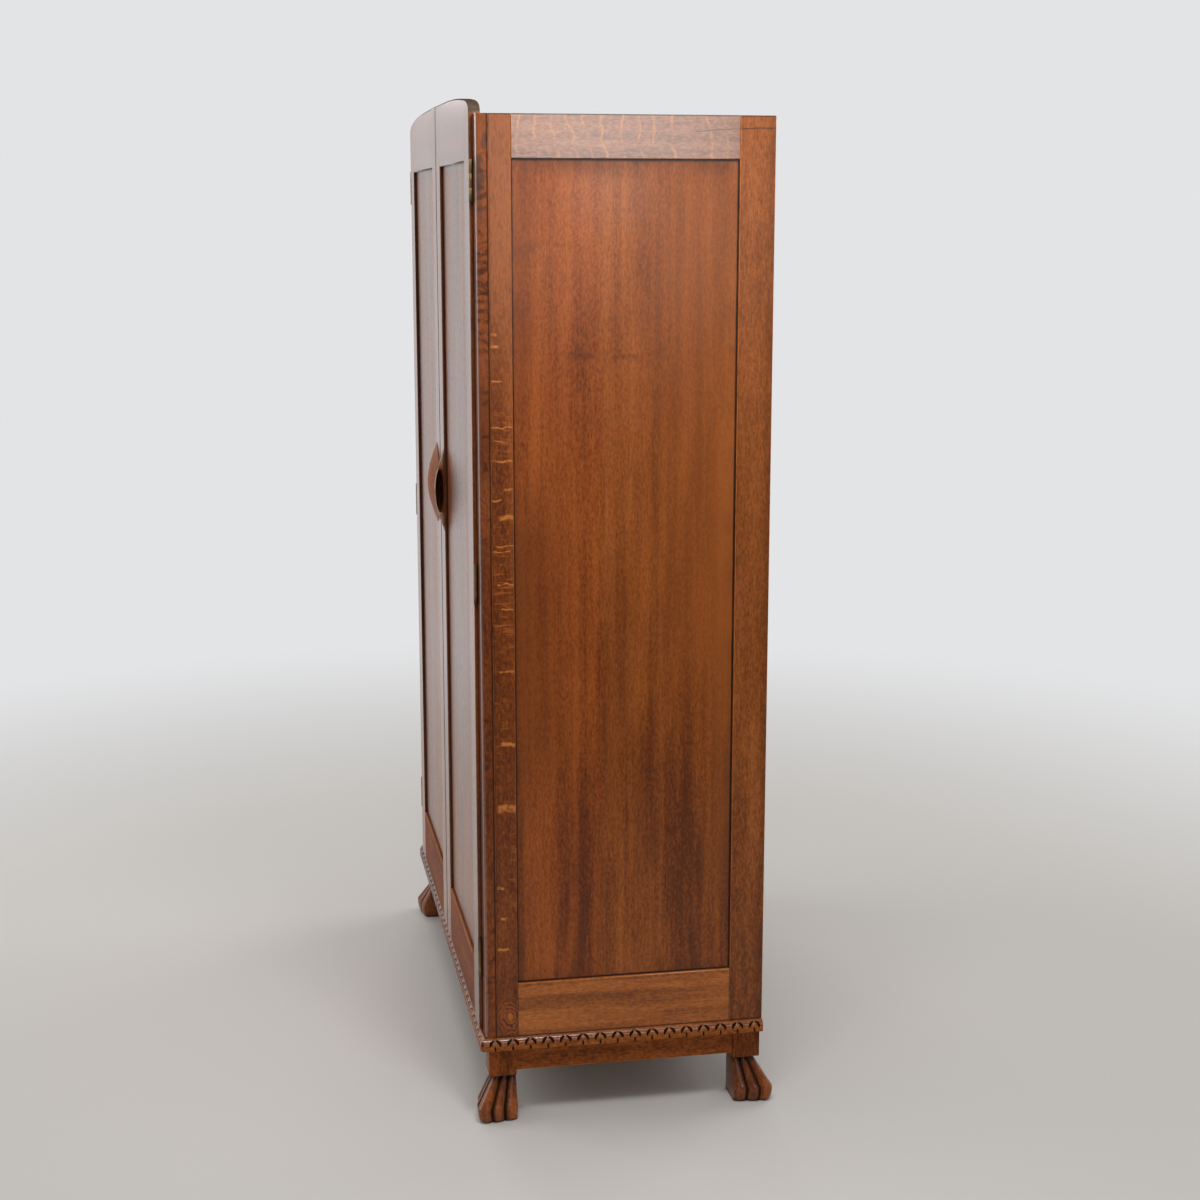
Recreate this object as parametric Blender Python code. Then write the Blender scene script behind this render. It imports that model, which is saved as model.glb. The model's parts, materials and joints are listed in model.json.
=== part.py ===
"""A two-door oak wardrobe with framed sides, arched doors, a carved base moulding and reeded feet.

Metres, +Z up. The front faces -Y, the right-hand side faces +X and the feet stand on Z = 0.
"""
import bmesh
import bpy
from math import cos, pi, sin
from mathutils import Vector

# Clearance between pieces that touch
GAP = 0.0003

# Case
CASE_WIDTH = 1.125
CASE_DEPTH = 0.511
CASE_HEIGHT = 1.6367
SIDE_THICKNESS = 0.022
SIDE_FRONT_STILE = 0.0383
SIDE_REAR_STILE = 0.062
SIDE_TOP_RAIL = 0.072
SIDE_BOTTOM_RAIL = 0.1223
SIDE_PANEL_RECESS = 0.006
SIDE_PANEL_THICKNESS = 0.008
BOARD_THICKNESS = 0.018
FLOOR_BOARD_THICKNESS = 0.0224
BACK_THICKNESS = 0.006
HEAD_RAIL_HEIGHT = 0.072
HEAD_RAIL_THICKNESS = 0.020

# Grooves that hold the panels and the stub tenons of the rails
GROOVE_DEPTH = 0.008
GROOVE_STOP = 0.018
PANEL_PLAY = 0.001

# Strips that edge the front of the case
STRIP_WIDTH = 0.036
STRIP_THICKNESS = 0.020
STRIP_ROUNDING = 0.005
STRIP_ROUNDING_STEPS = 4

# Doors
DOOR_THICKNESS = 0.020
DOOR_PROUD = 0.007
DOOR_HINGE_GAP = 0.0015
DOOR_MEETING_GAP = 0.002
DOOR_BOTTOM_GAP = 0.0035
DOOR_STILE = 0.067
DOOR_BOTTOM_RAIL = 0.110
DOOR_HEAD_DROP = 0.076
DOOR_PANEL_RECESS = 0.006
DOOR_PANEL_THICKNESS = 0.006

# Arched top of the doors, above the top of the case
ARCH_EDGE_RISE = 0.004
ARCH_RISE = 0.034
ARCH_POWER = 2.8
ARCH_STEPS = 22

# Hinges
HINGE_HEIGHT = 0.070
HINGE_TOP_DROP = 0.108
HINGE_BOTTOM_RISE = 0.163
HINGE_LEAF_WIDTH = 0.0110
HINGE_LEAF_THICKNESS = 0.0015
HINGE_WEB = 0.0010
KNUCKLE_RADIUS = 0.0038
KNUCKLE_SHARE = 0.33
KNUCKLE_SIDES = 12
PIN_RADIUS = 0.0018

# Carved door pulls
PULL_LENGTH = 0.160
PULL_PROUD = 0.0195
PULL_EDGE = 0.0012
PULL_MARGIN = 0.004
PULL_TIP_WIDTH = 0.006
PULL_SWELL_POWER = 1.15
PULL_FALL = 1.25
PULL_OUTLINE_POWER = 0.6
PULL_HEIGHT = 0.920
PULL_STATIONS = 16
PULL_STEPS = 6
PULL_HOLLOW_LENGTH = 0.092
PULL_HOLLOW_DEPTH = 0.030
PULL_HOLLOW_HEIGHT = 0.0125
PULL_HOLLOW_SIDES = 20
PULL_HOLLOW_RINGS = 12
PULL_FLOOR = 0.0025

# Spring clips that hold the doors shut, and their studs
CATCH_WIDTH = 0.014
CATCH_DEPTH = 0.017
CATCH_HEIGHT = 0.012
CATCH_METAL = 0.0012
STUD_RADIUS = 0.004
STUD_LENGTH = 0.013
STUD_SIDES = 12

# Hanging rail
RAIL_RADIUS = 0.012
RAIL_DROP = 0.115
RAIL_SIDES = 20
BEARER_HEIGHT = 0.050
BEARER_THICKNESS = 0.012
BEARER_END_GAP = 0.012
SOCKET_RADIUS = 0.020
SOCKET_DEPTH = 0.014

# Base
FOOT_HEIGHT = 0.082
BLOCK_HEIGHT = 0.053
BLOCK_SIZE = 0.050
BLOCK_INSET = 0.003
FRONT_BLOCK_INSET = 0.006
APRON_HEIGHT = 0.045
APRON_THICKNESS = 0.018
APRON_SETBACK = 0.004
MOULDING_HEIGHT = 0.0218
MOULDING_PROUD = 0.010
MOULDING_FACE = 0.011
MOULDING_STEPS = 5

# Reeded feet: how far each outer face stands from the face of its block
NECK_INSET = 0.010
FLARE_REACH = 0.023
SOLE_REACH = 0.013
FLARE_HEIGHT = 0.028
FAN_TAPER = 0.008
TOE_STEPS = 4
TOE_POWER = 2.6
REED_DEPTH = 0.004
REED_BREAKS = (0.0, 0.35, 0.67)
REED_STEPS = 4
CORNER_STEPS = 6
CORNER_POWER = 4

# Edges sharper than this stay crisp on rounded pieces
SHARP_ANGLE = pi / 5

# Finishes: base colour, roughness, metallic
OAK = ((0.245, 0.082, 0.026), 0.38, 0.0)
OAK_PANEL = ((0.215, 0.070, 0.021), 0.36, 0.0)
OAK_CARVED = ((0.190, 0.062, 0.021), 0.42, 0.0)
INSIDE_WOOD = ((0.330, 0.165, 0.070), 0.62, 0.0)
BRASS = ((0.520, 0.360, 0.130), 0.36, 1.0)
STEEL = ((0.420, 0.410, 0.390), 0.40, 1.0)

# Places worked out from the sizes above
HALF_WIDTH = CASE_WIDTH / 2
CASE_BOTTOM = FOOT_HEIGHT + BLOCK_HEIGHT + GAP
CASE_TOP = CASE_BOTTOM + CASE_HEIGHT
FOOT_BEYOND_CASE = FLARE_REACH - BLOCK_INSET
FRONT_REACH = max(DOOR_PROUD + GAP + PULL_PROUD, FOOT_BEYOND_CASE, MOULDING_PROUD + GAP)
REAR_REACH = FOOT_BEYOND_CASE
FRONT = (FRONT_REACH - REAR_REACH - CASE_DEPTH) / 2
REAR = FRONT + CASE_DEPTH
SIDE_FACE = HALF_WIDTH - SIDE_THICKNESS
STRIP_EDGE = HALF_WIDTH - STRIP_WIDTH
STRIP_BACK = FRONT + STRIP_THICKNESS
BACK_FACE = REAR - BACK_THICKNESS
DOOR_FACE = FRONT - DOOR_PROUD
DOOR_BACK = DOOR_FACE + DOOR_THICKNESS
DOOR_OUTER = STRIP_EDGE - DOOR_HINGE_GAP
DOOR_INNER = DOOR_MEETING_GAP / 2
FLOOR_TOP = CASE_BOTTOM + FLOOR_BOARD_THICKNESS
DOOR_BOTTOM = FLOOR_TOP + DOOR_BOTTOM_GAP
DOOR_PANEL_BOTTOM = DOOR_BOTTOM + DOOR_BOTTOM_RAIL
DOOR_PANEL_TOP = CASE_TOP - DOOR_HEAD_DROP
PULL_Z = DOOR_BOTTOM + PULL_HEIGHT
HEAD_RAIL_FACE = DOOR_BACK + GAP
HEAD_RAIL_BOTTOM = CASE_TOP - HEAD_RAIL_HEIGHT
AXIS_X = DOOR_OUTER + KNUCKLE_RADIUS + GAP
AXIS_Y = FRONT - KNUCKLE_RADIUS - GAP
HINGE_HIGH = CASE_TOP - HINGE_TOP_DROP
HINGE_LOW = CASE_BOTTOM + HINGE_BOTTOM_RISE
HINGE_HEIGHTS = {"lower": HINGE_LOW, "middle": (HINGE_LOW + HINGE_HIGH) / 2, "upper": HINGE_HIGH}
RAIL_Z = CASE_TOP - RAIL_DROP
RAIL_Y = (STRIP_BACK + BACK_FACE) / 2
BEARER_FACE = SIDE_FACE - GAP - BEARER_THICKNESS
SIDES = (("left", -1), ("right", 1))


def clear_scene():
    """Remove every object that the scene starts with."""
    for old in list(bpy.data.objects):
        bpy.data.objects.remove(old, do_unlink=True)


def work_object(bm):
    """Turn a bmesh, in world places, into an object with its faces pointing out."""
    bmesh.ops.recalc_face_normals(bm, faces=bm.faces)
    mesh = bpy.data.meshes.new("work")
    bm.to_mesh(mesh)
    bm.free()
    work = bpy.data.objects.new("work", mesh)
    bpy.context.collection.objects.link(work)
    return work


def loft(rings):
    """A closed body through rings of points, with its first and last ring capped."""
    bm = bmesh.new()
    rows = [[bm.verts.new(point) for point in ring] for ring in rings]
    for near, far in zip(rows, rows[1:]):
        for i in range(len(near)):
            j = (i + 1) % len(near)
            bm.faces.new((near[i], near[j], far[j], far[i]))
    bm.faces.new(rows[0])
    bm.faces.new(rows[-1])
    return work_object(bm)


def prism(outline, axis, start, end):
    """Extrude a flat outline along one axis; its points list the other two axes in order."""
    place = "XYZ".index(axis)

    def ring(along):
        return [point[:place] + (along,) + point[place:] for point in outline]

    return loft([ring(start), ring(end)])


def box(x, y, z):
    """A block between two places on each axis, given in either order."""
    return prism([(x[0], y[0]), (x[1], y[0]), (x[1], y[1]), (x[0], y[1])], "Z", z[0], z[1])


def circle(centre, radius, sides):
    """Points round a circle, with a flat facet on each axis."""
    turn = 2 * pi / sides
    reach = radius / cos(turn / 2)
    angles = [turn * (i + 0.5) for i in range(sides)]
    return [(centre[0] + reach * cos(a), centre[1] + reach * sin(a)) for a in angles]


def combine(body, tool, operation):
    """Join a tool to a body or cut it away, and delete the tool."""
    step = body.modifiers.new("combine", "BOOLEAN")
    step.operation = operation
    step.object = tool
    bpy.context.view_layer.update()
    result = body.evaluated_get(bpy.context.evaluated_depsgraph_get())
    mesh = bpy.data.meshes.new_from_object(result)
    body.modifiers.clear()
    body.data = mesh
    bpy.data.objects.remove(tool, do_unlink=True)
    return body


def cut(body, tool):
    """Cut a tool out of a body."""
    return combine(body, tool, "DIFFERENCE")


def unite(body, tool):
    """Make a body and a tool one solid."""
    return combine(body, tool, "UNION")


def finish_material(name, finish):
    """A plain finish for one piece."""
    colour, roughness, metallic = finish
    material = bpy.data.materials.new(name + "_finish")
    material.use_nodes = True
    shader = material.node_tree.nodes["Principled BSDF"]
    shader.inputs["Base Color"].default_value = (*colour, 1.0)
    shader.inputs["Roughness"].default_value = roughness
    shader.inputs["Metallic"].default_value = metallic
    return material


def settle(work, name, finish, axis=None, smooth=False):
    """Name a piece, give it its origin and finish, and hang it on a hinge axis if it moves."""
    corners = [Vector(vertex.co) for vertex in work.data.vertices]
    low = Vector(min(c[i] for c in corners) for i in range(3))
    high = Vector(max(c[i] for c in corners) for i in range(3))
    origin = (low + high) / 2
    for vertex in work.data.vertices:
        vertex.co -= origin
    work.name = name
    work.data.name = name
    work.data.materials.clear()
    work.data.materials.append(finish_material(name, finish))
    work.location = origin
    if axis:
        work.parent = axis
        work.location = origin - axis.location
    if smooth:
        work.data.shade_smooth()
        work.data.set_sharp_from_angle(angle=SHARP_ANGLE)
    return work


def foot_outline(size, depth):
    """Section of a reeded foot from its inner corner: two plain sides, and two reeded ones that fan out."""
    neck = BLOCK_SIZE - NECK_INSET
    fan = FAN_TAPER * max(0.0, size - neck) / (BLOCK_SIZE + FLARE_REACH - neck) / size
    half = []
    for start, end in zip(REED_BREAKS, REED_BREAKS[1:]):
        middle = size * (start + end) / 2
        run = size * (end - start) / 2
        for step in range(REED_STEPS):
            angle = pi * step / REED_STEPS
            half.append((size - depth + depth * sin(angle), middle - run * cos(angle)))
    knee = size * REED_BREAKS[-1]
    half.append((size - depth, knee))
    corner = []
    for step in range(CORNER_STEPS + 1):
        angle = pi / 2 * step / CORNER_STEPS
        swell = (abs(cos(angle)) ** CORNER_POWER + abs(sin(angle)) ** CORNER_POWER) ** (-1 / CORNER_POWER)
        reach = (size - knee) * swell
        corner.append((knee + reach * cos(angle), knee + reach * sin(angle)))
    mirrored = [(v, u) for u, v in reversed(half)]
    fanned = []
    for u, v in [(0.0, 0.0)] + half + corner + mirrored:
        fanned.append((u * (1 - fan * max(0.0, 1 - v / knee)), v * (1 - fan * max(0.0, 1 - u / knee))))
    return fanned


def foot_rings():
    """Height and size of each section of a foot, from the sole to its neck."""
    back = BLOCK_SIZE
    rings = []
    for step in range(TOE_STEPS):
        angle = pi / 2 * step / TOE_STEPS
        reach = SOLE_REACH + (FLARE_REACH - SOLE_REACH) * sin(angle) ** (2 / TOE_POWER)
        rings.append((FLARE_HEIGHT * (1 - cos(angle) ** (2 / TOE_POWER)), back + reach))
    rings.append((FLARE_HEIGHT, back + FLARE_REACH))
    rings.append((FOOT_HEIGHT - REED_DEPTH, back - NECK_INSET + REED_DEPTH / 2))
    rings.append((FOOT_HEIGHT + REED_DEPTH, back - NECK_INSET))
    return rings


def build_feet():
    """Four feet, each one piece: a square block on a foot that flares on its two outer sides."""
    for end, front_sign, inner_y in (("front", -1, FRONT + FRONT_BLOCK_INSET + BLOCK_SIZE),
                                     ("rear", 1, REAR - BLOCK_INSET - BLOCK_SIZE)):
        for side, sign in SIDES:
            inner_x = HALF_WIDTH - BLOCK_INSET - BLOCK_SIZE
            rings = []
            for height, size in foot_rings():
                outline = foot_outline(size, REED_DEPTH)
                rings.append([(sign * (inner_x + u), inner_y + front_sign * v, height) for u, v in outline])
            foot = loft(rings)
            block = box((sign * inner_x, sign * (inner_x + BLOCK_SIZE)),
                        (inner_y, inner_y + front_sign * BLOCK_SIZE),
                        (FOOT_HEIGHT, FOOT_HEIGHT + BLOCK_HEIGHT))
            settle(unite(block, foot), f"{end}_{side}_foot", OAK_CARVED)


def build_aprons():
    """Rails between the foot blocks, set back from their faces."""
    top = FOOT_HEIGHT + BLOCK_HEIGHT
    heights = (top - APRON_HEIGHT, top)
    outer_x = HALF_WIDTH - BLOCK_INSET - APRON_SETBACK
    end_x = HALF_WIDTH - BLOCK_INSET - BLOCK_SIZE - GAP
    front_y = FRONT + FRONT_BLOCK_INSET + APRON_SETBACK
    rear_y = REAR - BLOCK_INSET - APRON_SETBACK
    end_front = FRONT + FRONT_BLOCK_INSET + BLOCK_SIZE + GAP
    end_rear = REAR - BLOCK_INSET - BLOCK_SIZE - GAP
    settle(box((-end_x, end_x), (front_y, front_y + APRON_THICKNESS), heights), "front_apron_rail", OAK)
    settle(box((-end_x, end_x), (rear_y - APRON_THICKNESS, rear_y), heights), "rear_apron_rail", OAK)
    for side, sign in SIDES:
        across = (sign * outer_x, sign * (outer_x - APRON_THICKNESS))
        settle(box(across, (end_front, end_rear), heights), f"{side}_apron_rail", OAK)


def moulding_profile():
    """Section of the base moulding: how far each point stands out, and its height."""
    profile = [(GAP, 0.0), (GAP + MOULDING_PROUD, 0.0)]
    for step in range(MOULDING_STEPS + 1):
        angle = pi / 2 * step / MOULDING_STEPS
        out = GAP + MOULDING_PROUD * cos(angle)
        profile.append((out, MOULDING_FACE + (MOULDING_HEIGHT - MOULDING_FACE) * sin(angle)))
    return [(out, CASE_BOTTOM + GAP + height) for out, height in profile]


def build_mouldings():
    """Base moulding round the front and both sides, mitred at the front corners."""
    profile = moulding_profile()
    rings = []
    for sign in (-1, 1):
        rings.append([(sign * (HALF_WIDTH + out - GAP), FRONT - out, z) for out, z in profile])
    settle(loft(rings), "front_base_moulding", OAK_CARVED, smooth=True)
    for side, sign in SIDES:
        mitre = [(sign * (HALF_WIDTH + out), FRONT - out + GAP, z) for out, z in profile]
        square = [(sign * (HALF_WIDTH + out), REAR, z) for out, z in profile]
        settle(loft([mitre, square]), f"{side}_base_moulding", OAK_CARVED, smooth=True)


def build_side(side, sign):
    """A framed side: two stiles, two rails with stub tenons, and a panel held in their grooves."""

    def layer(near, far):
        return (sign * (HALF_WIDTH - near), sign * (HALF_WIDTH - far))

    solid = layer(0.0, SIDE_THICKNESS)
    tongue = layer(SIDE_PANEL_RECESS, SIDE_PANEL_RECESS + SIDE_PANEL_THICKNESS)
    groove = layer(SIDE_PANEL_RECESS - GAP, SIDE_PANEL_RECESS + SIDE_PANEL_THICKNESS + GAP)
    front = STRIP_BACK + GAP
    front_edge = front + SIDE_FRONT_STILE
    rear_edge = REAR - SIDE_REAR_STILE
    rail_low = CASE_BOTTOM + SIDE_BOTTOM_RAIL
    rail_high = CASE_TOP - SIDE_TOP_RAIL
    full = (CASE_BOTTOM, CASE_TOP)
    channel = (CASE_BOTTOM + GROOVE_STOP, CASE_TOP - GROOVE_STOP)
    past = GROOVE_DEPTH

    stile = box(solid, (front, front_edge), full)
    cut(stile, box(groove, (front_edge - GROOVE_DEPTH, front_edge + past), channel))
    settle(stile, f"{side}_side_front_stile", OAK)
    stile = box(solid, (rear_edge, REAR), full)
    cut(stile, box(groove, (rear_edge - past, rear_edge + GROOVE_DEPTH), channel))
    settle(stile, f"{side}_side_rear_stile", OAK)

    span = (front_edge + GAP, rear_edge - GAP)
    reach = (front_edge - GROOVE_DEPTH + PANEL_PLAY, rear_edge + GROOVE_DEPTH - PANEL_PLAY)
    over = (span[0] - past, span[1] + past)
    rail = box(solid, span, (rail_high, CASE_TOP))
    unite(rail, box(tongue, reach, (rail_high + GROOVE_DEPTH + PANEL_PLAY, channel[1] - GAP)))
    cut(rail, box(groove, over, (rail_high - past, rail_high + GROOVE_DEPTH)))
    settle(rail, f"{side}_side_top_rail", OAK)
    rail = box(solid, span, (CASE_BOTTOM, rail_low))
    unite(rail, box(tongue, reach, (channel[0] + GAP, rail_low - GROOVE_DEPTH - PANEL_PLAY)))
    cut(rail, box(groove, over, (rail_low - GROOVE_DEPTH, rail_low + past)))
    settle(rail, f"{side}_side_bottom_rail", OAK)

    held = GROOVE_DEPTH - PANEL_PLAY
    settle(box(tongue, reach, (rail_low - held, rail_high + held)), f"{side}_side_panel", OAK_PANEL)


def cut_hinge_seats(body, edge, sign, into):
    """Mortises for the hinge leaves in one edge."""
    depth = HINGE_LEAF_THICKNESS + GAP
    across = (sign * (edge - into * depth), sign * (edge + into * depth))
    along = (min(FRONT, DOOR_FACE) - KNUCKLE_RADIUS, FRONT + HINGE_LEAF_WIDTH + GAP)
    tall = HINGE_HEIGHT / 2 + GAP
    for height in HINGE_HEIGHTS.values():
        cut(body, box(across, along, (height - tall, height + tall)))


def build_strip(side, sign):
    """Strip that edges the front of a side, rounded on its outer arris and mortised for the hinges."""
    outline = [(sign * STRIP_EDGE, FRONT), (sign * STRIP_EDGE, STRIP_BACK), (sign * HALF_WIDTH, STRIP_BACK)]
    for step in range(STRIP_ROUNDING_STEPS + 1):
        angle = pi / 2 * step / STRIP_ROUNDING_STEPS
        x = HALF_WIDTH - STRIP_ROUNDING + STRIP_ROUNDING * cos(angle)
        outline.append((sign * x, FRONT + STRIP_ROUNDING - STRIP_ROUNDING * sin(angle)))
    strip = prism(outline, "Z", CASE_BOTTOM, CASE_TOP)
    cut_hinge_seats(strip, STRIP_EDGE, sign, 1)
    settle(strip, f"{side}_face_strip", OAK)


def build_boards():
    """Top, floor and back of the case, and the head rail that the doors close against."""
    inside = SIDE_FACE - GAP
    between = STRIP_EDGE - GAP
    rail_back = HEAD_RAIL_FACE + HEAD_RAIL_THICKNESS
    board_back = BACK_FACE - GAP
    settle(box((-between, between), (HEAD_RAIL_FACE, rail_back), (HEAD_RAIL_BOTTOM, CASE_TOP)),
           "head_rail", OAK)
    notch = STRIP_BACK + GAP

    def notched(front, middle):
        half = [(middle, front), (middle, notch), (inside, notch), (inside, board_back)]
        return [(-x, y) for x, y in half] + half[::-1]

    top = notched(max(rail_back, notch) + GAP, between + GAP)
    settle(prism(top, "Z", CASE_TOP - BOARD_THICKNESS, CASE_TOP), "top_board", INSIDE_WOOD)
    settle(prism(notched(FRONT, between), "Z", CASE_BOTTOM, FLOOR_TOP), "floor_board", INSIDE_WOOD)
    settle(box((-inside, inside), (BACK_FACE, REAR), (CASE_BOTTOM, CASE_TOP)), "back_panel", INSIDE_WOOD)


def build_hanging_rail():
    """Rail across the hanging space, in sockets on two bearers."""
    span = (STRIP_BACK + BEARER_END_GAP, BACK_FACE - BEARER_END_GAP)
    heights = (RAIL_Z - BEARER_HEIGHT / 2, RAIL_Z + BEARER_HEIGHT / 2)
    centre = (RAIL_Y, RAIL_Z)
    for side, sign in SIDES:
        across = (sign * BEARER_FACE, sign * (BEARER_FACE + BEARER_THICKNESS))
        settle(box(across, span, heights), f"{side}_rail_bearer", INSIDE_WOOD)
        seat = sign * (BEARER_FACE - GAP)
        mouth = sign * (BEARER_FACE - GAP - SOCKET_DEPTH)
        socket = prism(circle(centre, SOCKET_RADIUS, RAIL_SIDES), "X", seat, mouth)
        past = sign * SOCKET_DEPTH
        cut(socket, prism(circle(centre, RAIL_RADIUS + GAP, RAIL_SIDES), "X", seat + past, mouth - past))
        settle(socket, f"{side}_rail_socket", BRASS, smooth=True)
    end = BEARER_FACE - 2 * GAP
    settle(prism(circle(centre, RAIL_RADIUS, RAIL_SIDES), "X", -end, end), "hanging_rail", BRASS, smooth=True)


def arch_height(x):
    """Height of the doors' arched top at a distance from the middle of the wardrobe."""
    along = min(1.0, x / DOOR_OUTER)
    return CASE_TOP + ARCH_EDGE_RISE + ARCH_RISE * (1 - along ** ARCH_POWER) ** (1 / ARCH_POWER)


def arch_places(start, end):
    """Distances from the middle at which the arch between two places is drawn."""
    turns = [pi / 2 * i / ARCH_STEPS for i in range(1, ARCH_STEPS)]
    places = [DOOR_OUTER * sin(turn) ** (2 / ARCH_POWER) for turn in turns]
    return [start] + [x for x in places if start < x < end] + [end]


def arched_piece(sign, start, end, bottom):
    """A door piece between two distances from the middle, with its top cut to the arch."""
    outline = [(sign * start, bottom)]
    outline += [(sign * x, arch_height(x)) for x in arch_places(start, end)]
    outline.append((sign * end, bottom))
    return prism(outline, "Y", DOOR_FACE, DOOR_BACK)


def build_door(side, sign, axis):
    """A framed door with an arched head, hung on its outer stile."""

    def across(start, end):
        return (sign * start, sign * end)

    def layer(near, far):
        return (DOOR_FACE + near, DOOR_FACE + far)

    tongue = layer(DOOR_PANEL_RECESS, DOOR_PANEL_RECESS + DOOR_PANEL_THICKNESS)
    groove = layer(DOOR_PANEL_RECESS - GAP, DOOR_PANEL_RECESS + DOOR_PANEL_THICKNESS + GAP)
    inner_edge = DOOR_INNER + DOOR_STILE
    outer_edge = DOOR_OUTER - DOOR_STILE
    channel = (DOOR_BOTTOM + GROOVE_STOP, CASE_TOP - GROOVE_STOP)
    past = GROOVE_DEPTH

    stile = arched_piece(sign, DOOR_INNER, inner_edge, DOOR_BOTTOM)
    cut(stile, box(across(inner_edge - GROOVE_DEPTH, inner_edge + past), groove, channel))
    settle(stile, f"{side}_door_meeting_stile", OAK, axis)
    stile = arched_piece(sign, outer_edge, DOOR_OUTER, DOOR_BOTTOM)
    cut(stile, box(across(outer_edge - past, outer_edge + GROOVE_DEPTH), groove, channel))
    cut_hinge_seats(stile, DOOR_OUTER, sign, -1)
    settle(stile, f"{side}_door_hinge_stile", OAK, axis)

    span = (inner_edge + GAP, outer_edge - GAP)
    reach = across(inner_edge - GROOVE_DEPTH + PANEL_PLAY, outer_edge + GROOVE_DEPTH - PANEL_PLAY)
    over = across(span[0] - past, span[1] + past)
    rail = arched_piece(sign, span[0], span[1], DOOR_PANEL_TOP)
    unite(rail, box(reach, tongue, (DOOR_PANEL_TOP + GROOVE_DEPTH + PANEL_PLAY, channel[1] - GAP)))
    cut(rail, box(over, groove, (DOOR_PANEL_TOP - past, DOOR_PANEL_TOP + GROOVE_DEPTH)))
    settle(rail, f"{side}_door_top_rail", OAK, axis)
    rail = box(across(*span), (DOOR_FACE, DOOR_BACK), (DOOR_BOTTOM, DOOR_PANEL_BOTTOM))
    unite(rail, box(reach, tongue, (channel[0] + GAP, DOOR_PANEL_BOTTOM - GROOVE_DEPTH - PANEL_PLAY)))
    cut(rail, box(over, groove, (DOOR_PANEL_BOTTOM - GROOVE_DEPTH, DOOR_PANEL_BOTTOM + past)))
    settle(rail, f"{side}_door_bottom_rail", OAK, axis)

    held = GROOVE_DEPTH - PANEL_PLAY
    settle(box(reach, tongue, (DOOR_PANEL_BOTTOM - held, DOOR_PANEL_TOP + held)),
           f"{side}_door_panel", OAK_PANEL, axis)


def build_pull(side, sign, axis):
    """Carved pull on a meeting stile: it swells from the meeting edge to a rim over a finger hollow."""
    rim = DOOR_INNER + DOOR_STILE
    back = DOOR_FACE - GAP
    rings = []
    for station in range(PULL_STATIONS + 1):
        along = sin(pi / 2 * (2 * station / PULL_STATIONS - 1))
        bell = abs(cos(pi / 2 * along))
        swell = (PULL_PROUD - PULL_EDGE) * bell ** PULL_SWELL_POWER
        width = PULL_TIP_WIDTH + (DOOR_STILE - PULL_MARGIN - PULL_TIP_WIDTH) * bell ** PULL_OUTLINE_POWER
        ring = [(rim - width, back), (rim, back)]
        for step in range(PULL_STEPS + 1):
            share = step / PULL_STEPS
            rise = PULL_EDGE + swell * (1 - share ** PULL_FALL)
            ring.append((rim - width * share, back - rise))
        z = PULL_Z + along * PULL_LENGTH / 2
        rings.append([(sign * x, y, z) for x, y in ring])
    pull = loft(rings)
    bm = bmesh.new()
    bmesh.ops.create_uvsphere(bm, u_segments=PULL_HOLLOW_SIDES, v_segments=PULL_HOLLOW_RINGS, radius=1.0)
    half_height = PULL_HOLLOW_HEIGHT / 2
    bmesh.ops.scale(bm, verts=bm.verts, vec=(PULL_HOLLOW_DEPTH, half_height, PULL_HOLLOW_LENGTH / 2))
    middle = Vector((sign * rim, back - PULL_FLOOR - half_height, PULL_Z))
    bmesh.ops.translate(bm, verts=bm.verts, vec=middle)
    settle(cut(pull, work_object(bm)), f"{side}_door_pull", OAK_CARVED, axis, smooth=True)


def bar(sign, radius, low, high):
    """A round bar on the hinge axis."""
    return prism(circle((sign * AXIS_X, AXIS_Y), radius, KNUCKLE_SIDES), "Z", low, high)


def hinge_leaf(sign, height, edge, into, barrels):
    """A hinge leaf let into an edge and joined to its barrels."""
    half = HINGE_HEIGHT / 2
    thick = HINGE_LEAF_THICKNESS
    across = (sign * edge, sign * (edge + into * thick))
    web = (AXIS_Y - HINGE_WEB / 2, AXIS_Y + HINGE_WEB / 2)
    middle = sign * (edge + into * thick / 2)
    leaf = box(across, (FRONT, FRONT + HINGE_LEAF_WIDTH), (height - half, height + half))
    for low, high in barrels:
        unite(leaf, box(across, (AXIS_Y - thick / 2, FRONT + thick), (low, high)))
        unite(leaf, box((middle, sign * AXIS_X), web, (low, high)))
        unite(leaf, bar(sign, KNUCKLE_RADIUS, low, high))
    return leaf


def build_hinges(axes):
    """Three butt hinges to a door: the pin is fixed in the case leaf and runs in the door leaf."""
    share = HINGE_HEIGHT * KNUCKLE_SHARE
    half = HINGE_HEIGHT / 2
    for side, sign in SIDES:
        for level, height in HINGE_HEIGHTS.items():
            low, high = height - half, height + half
            ends = ((low, low + share), (high - share, high))
            middle = (low + share + GAP, high - share - GAP)
            case_leaf = hinge_leaf(sign, height, STRIP_EDGE, 1, ends)
            unite(case_leaf, bar(sign, PIN_RADIUS, low + share / 2, high - share / 2))
            settle(case_leaf, f"{side}_{level}_hinge_case_leaf", BRASS)
            door_leaf = hinge_leaf(sign, height, DOOR_OUTER, -1, (middle,))
            cut(door_leaf, bar(sign, PIN_RADIUS + GAP, low, high))
            settle(door_leaf, f"{side}_{level}_hinge_door_leaf", BRASS, axes[side])


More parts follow.
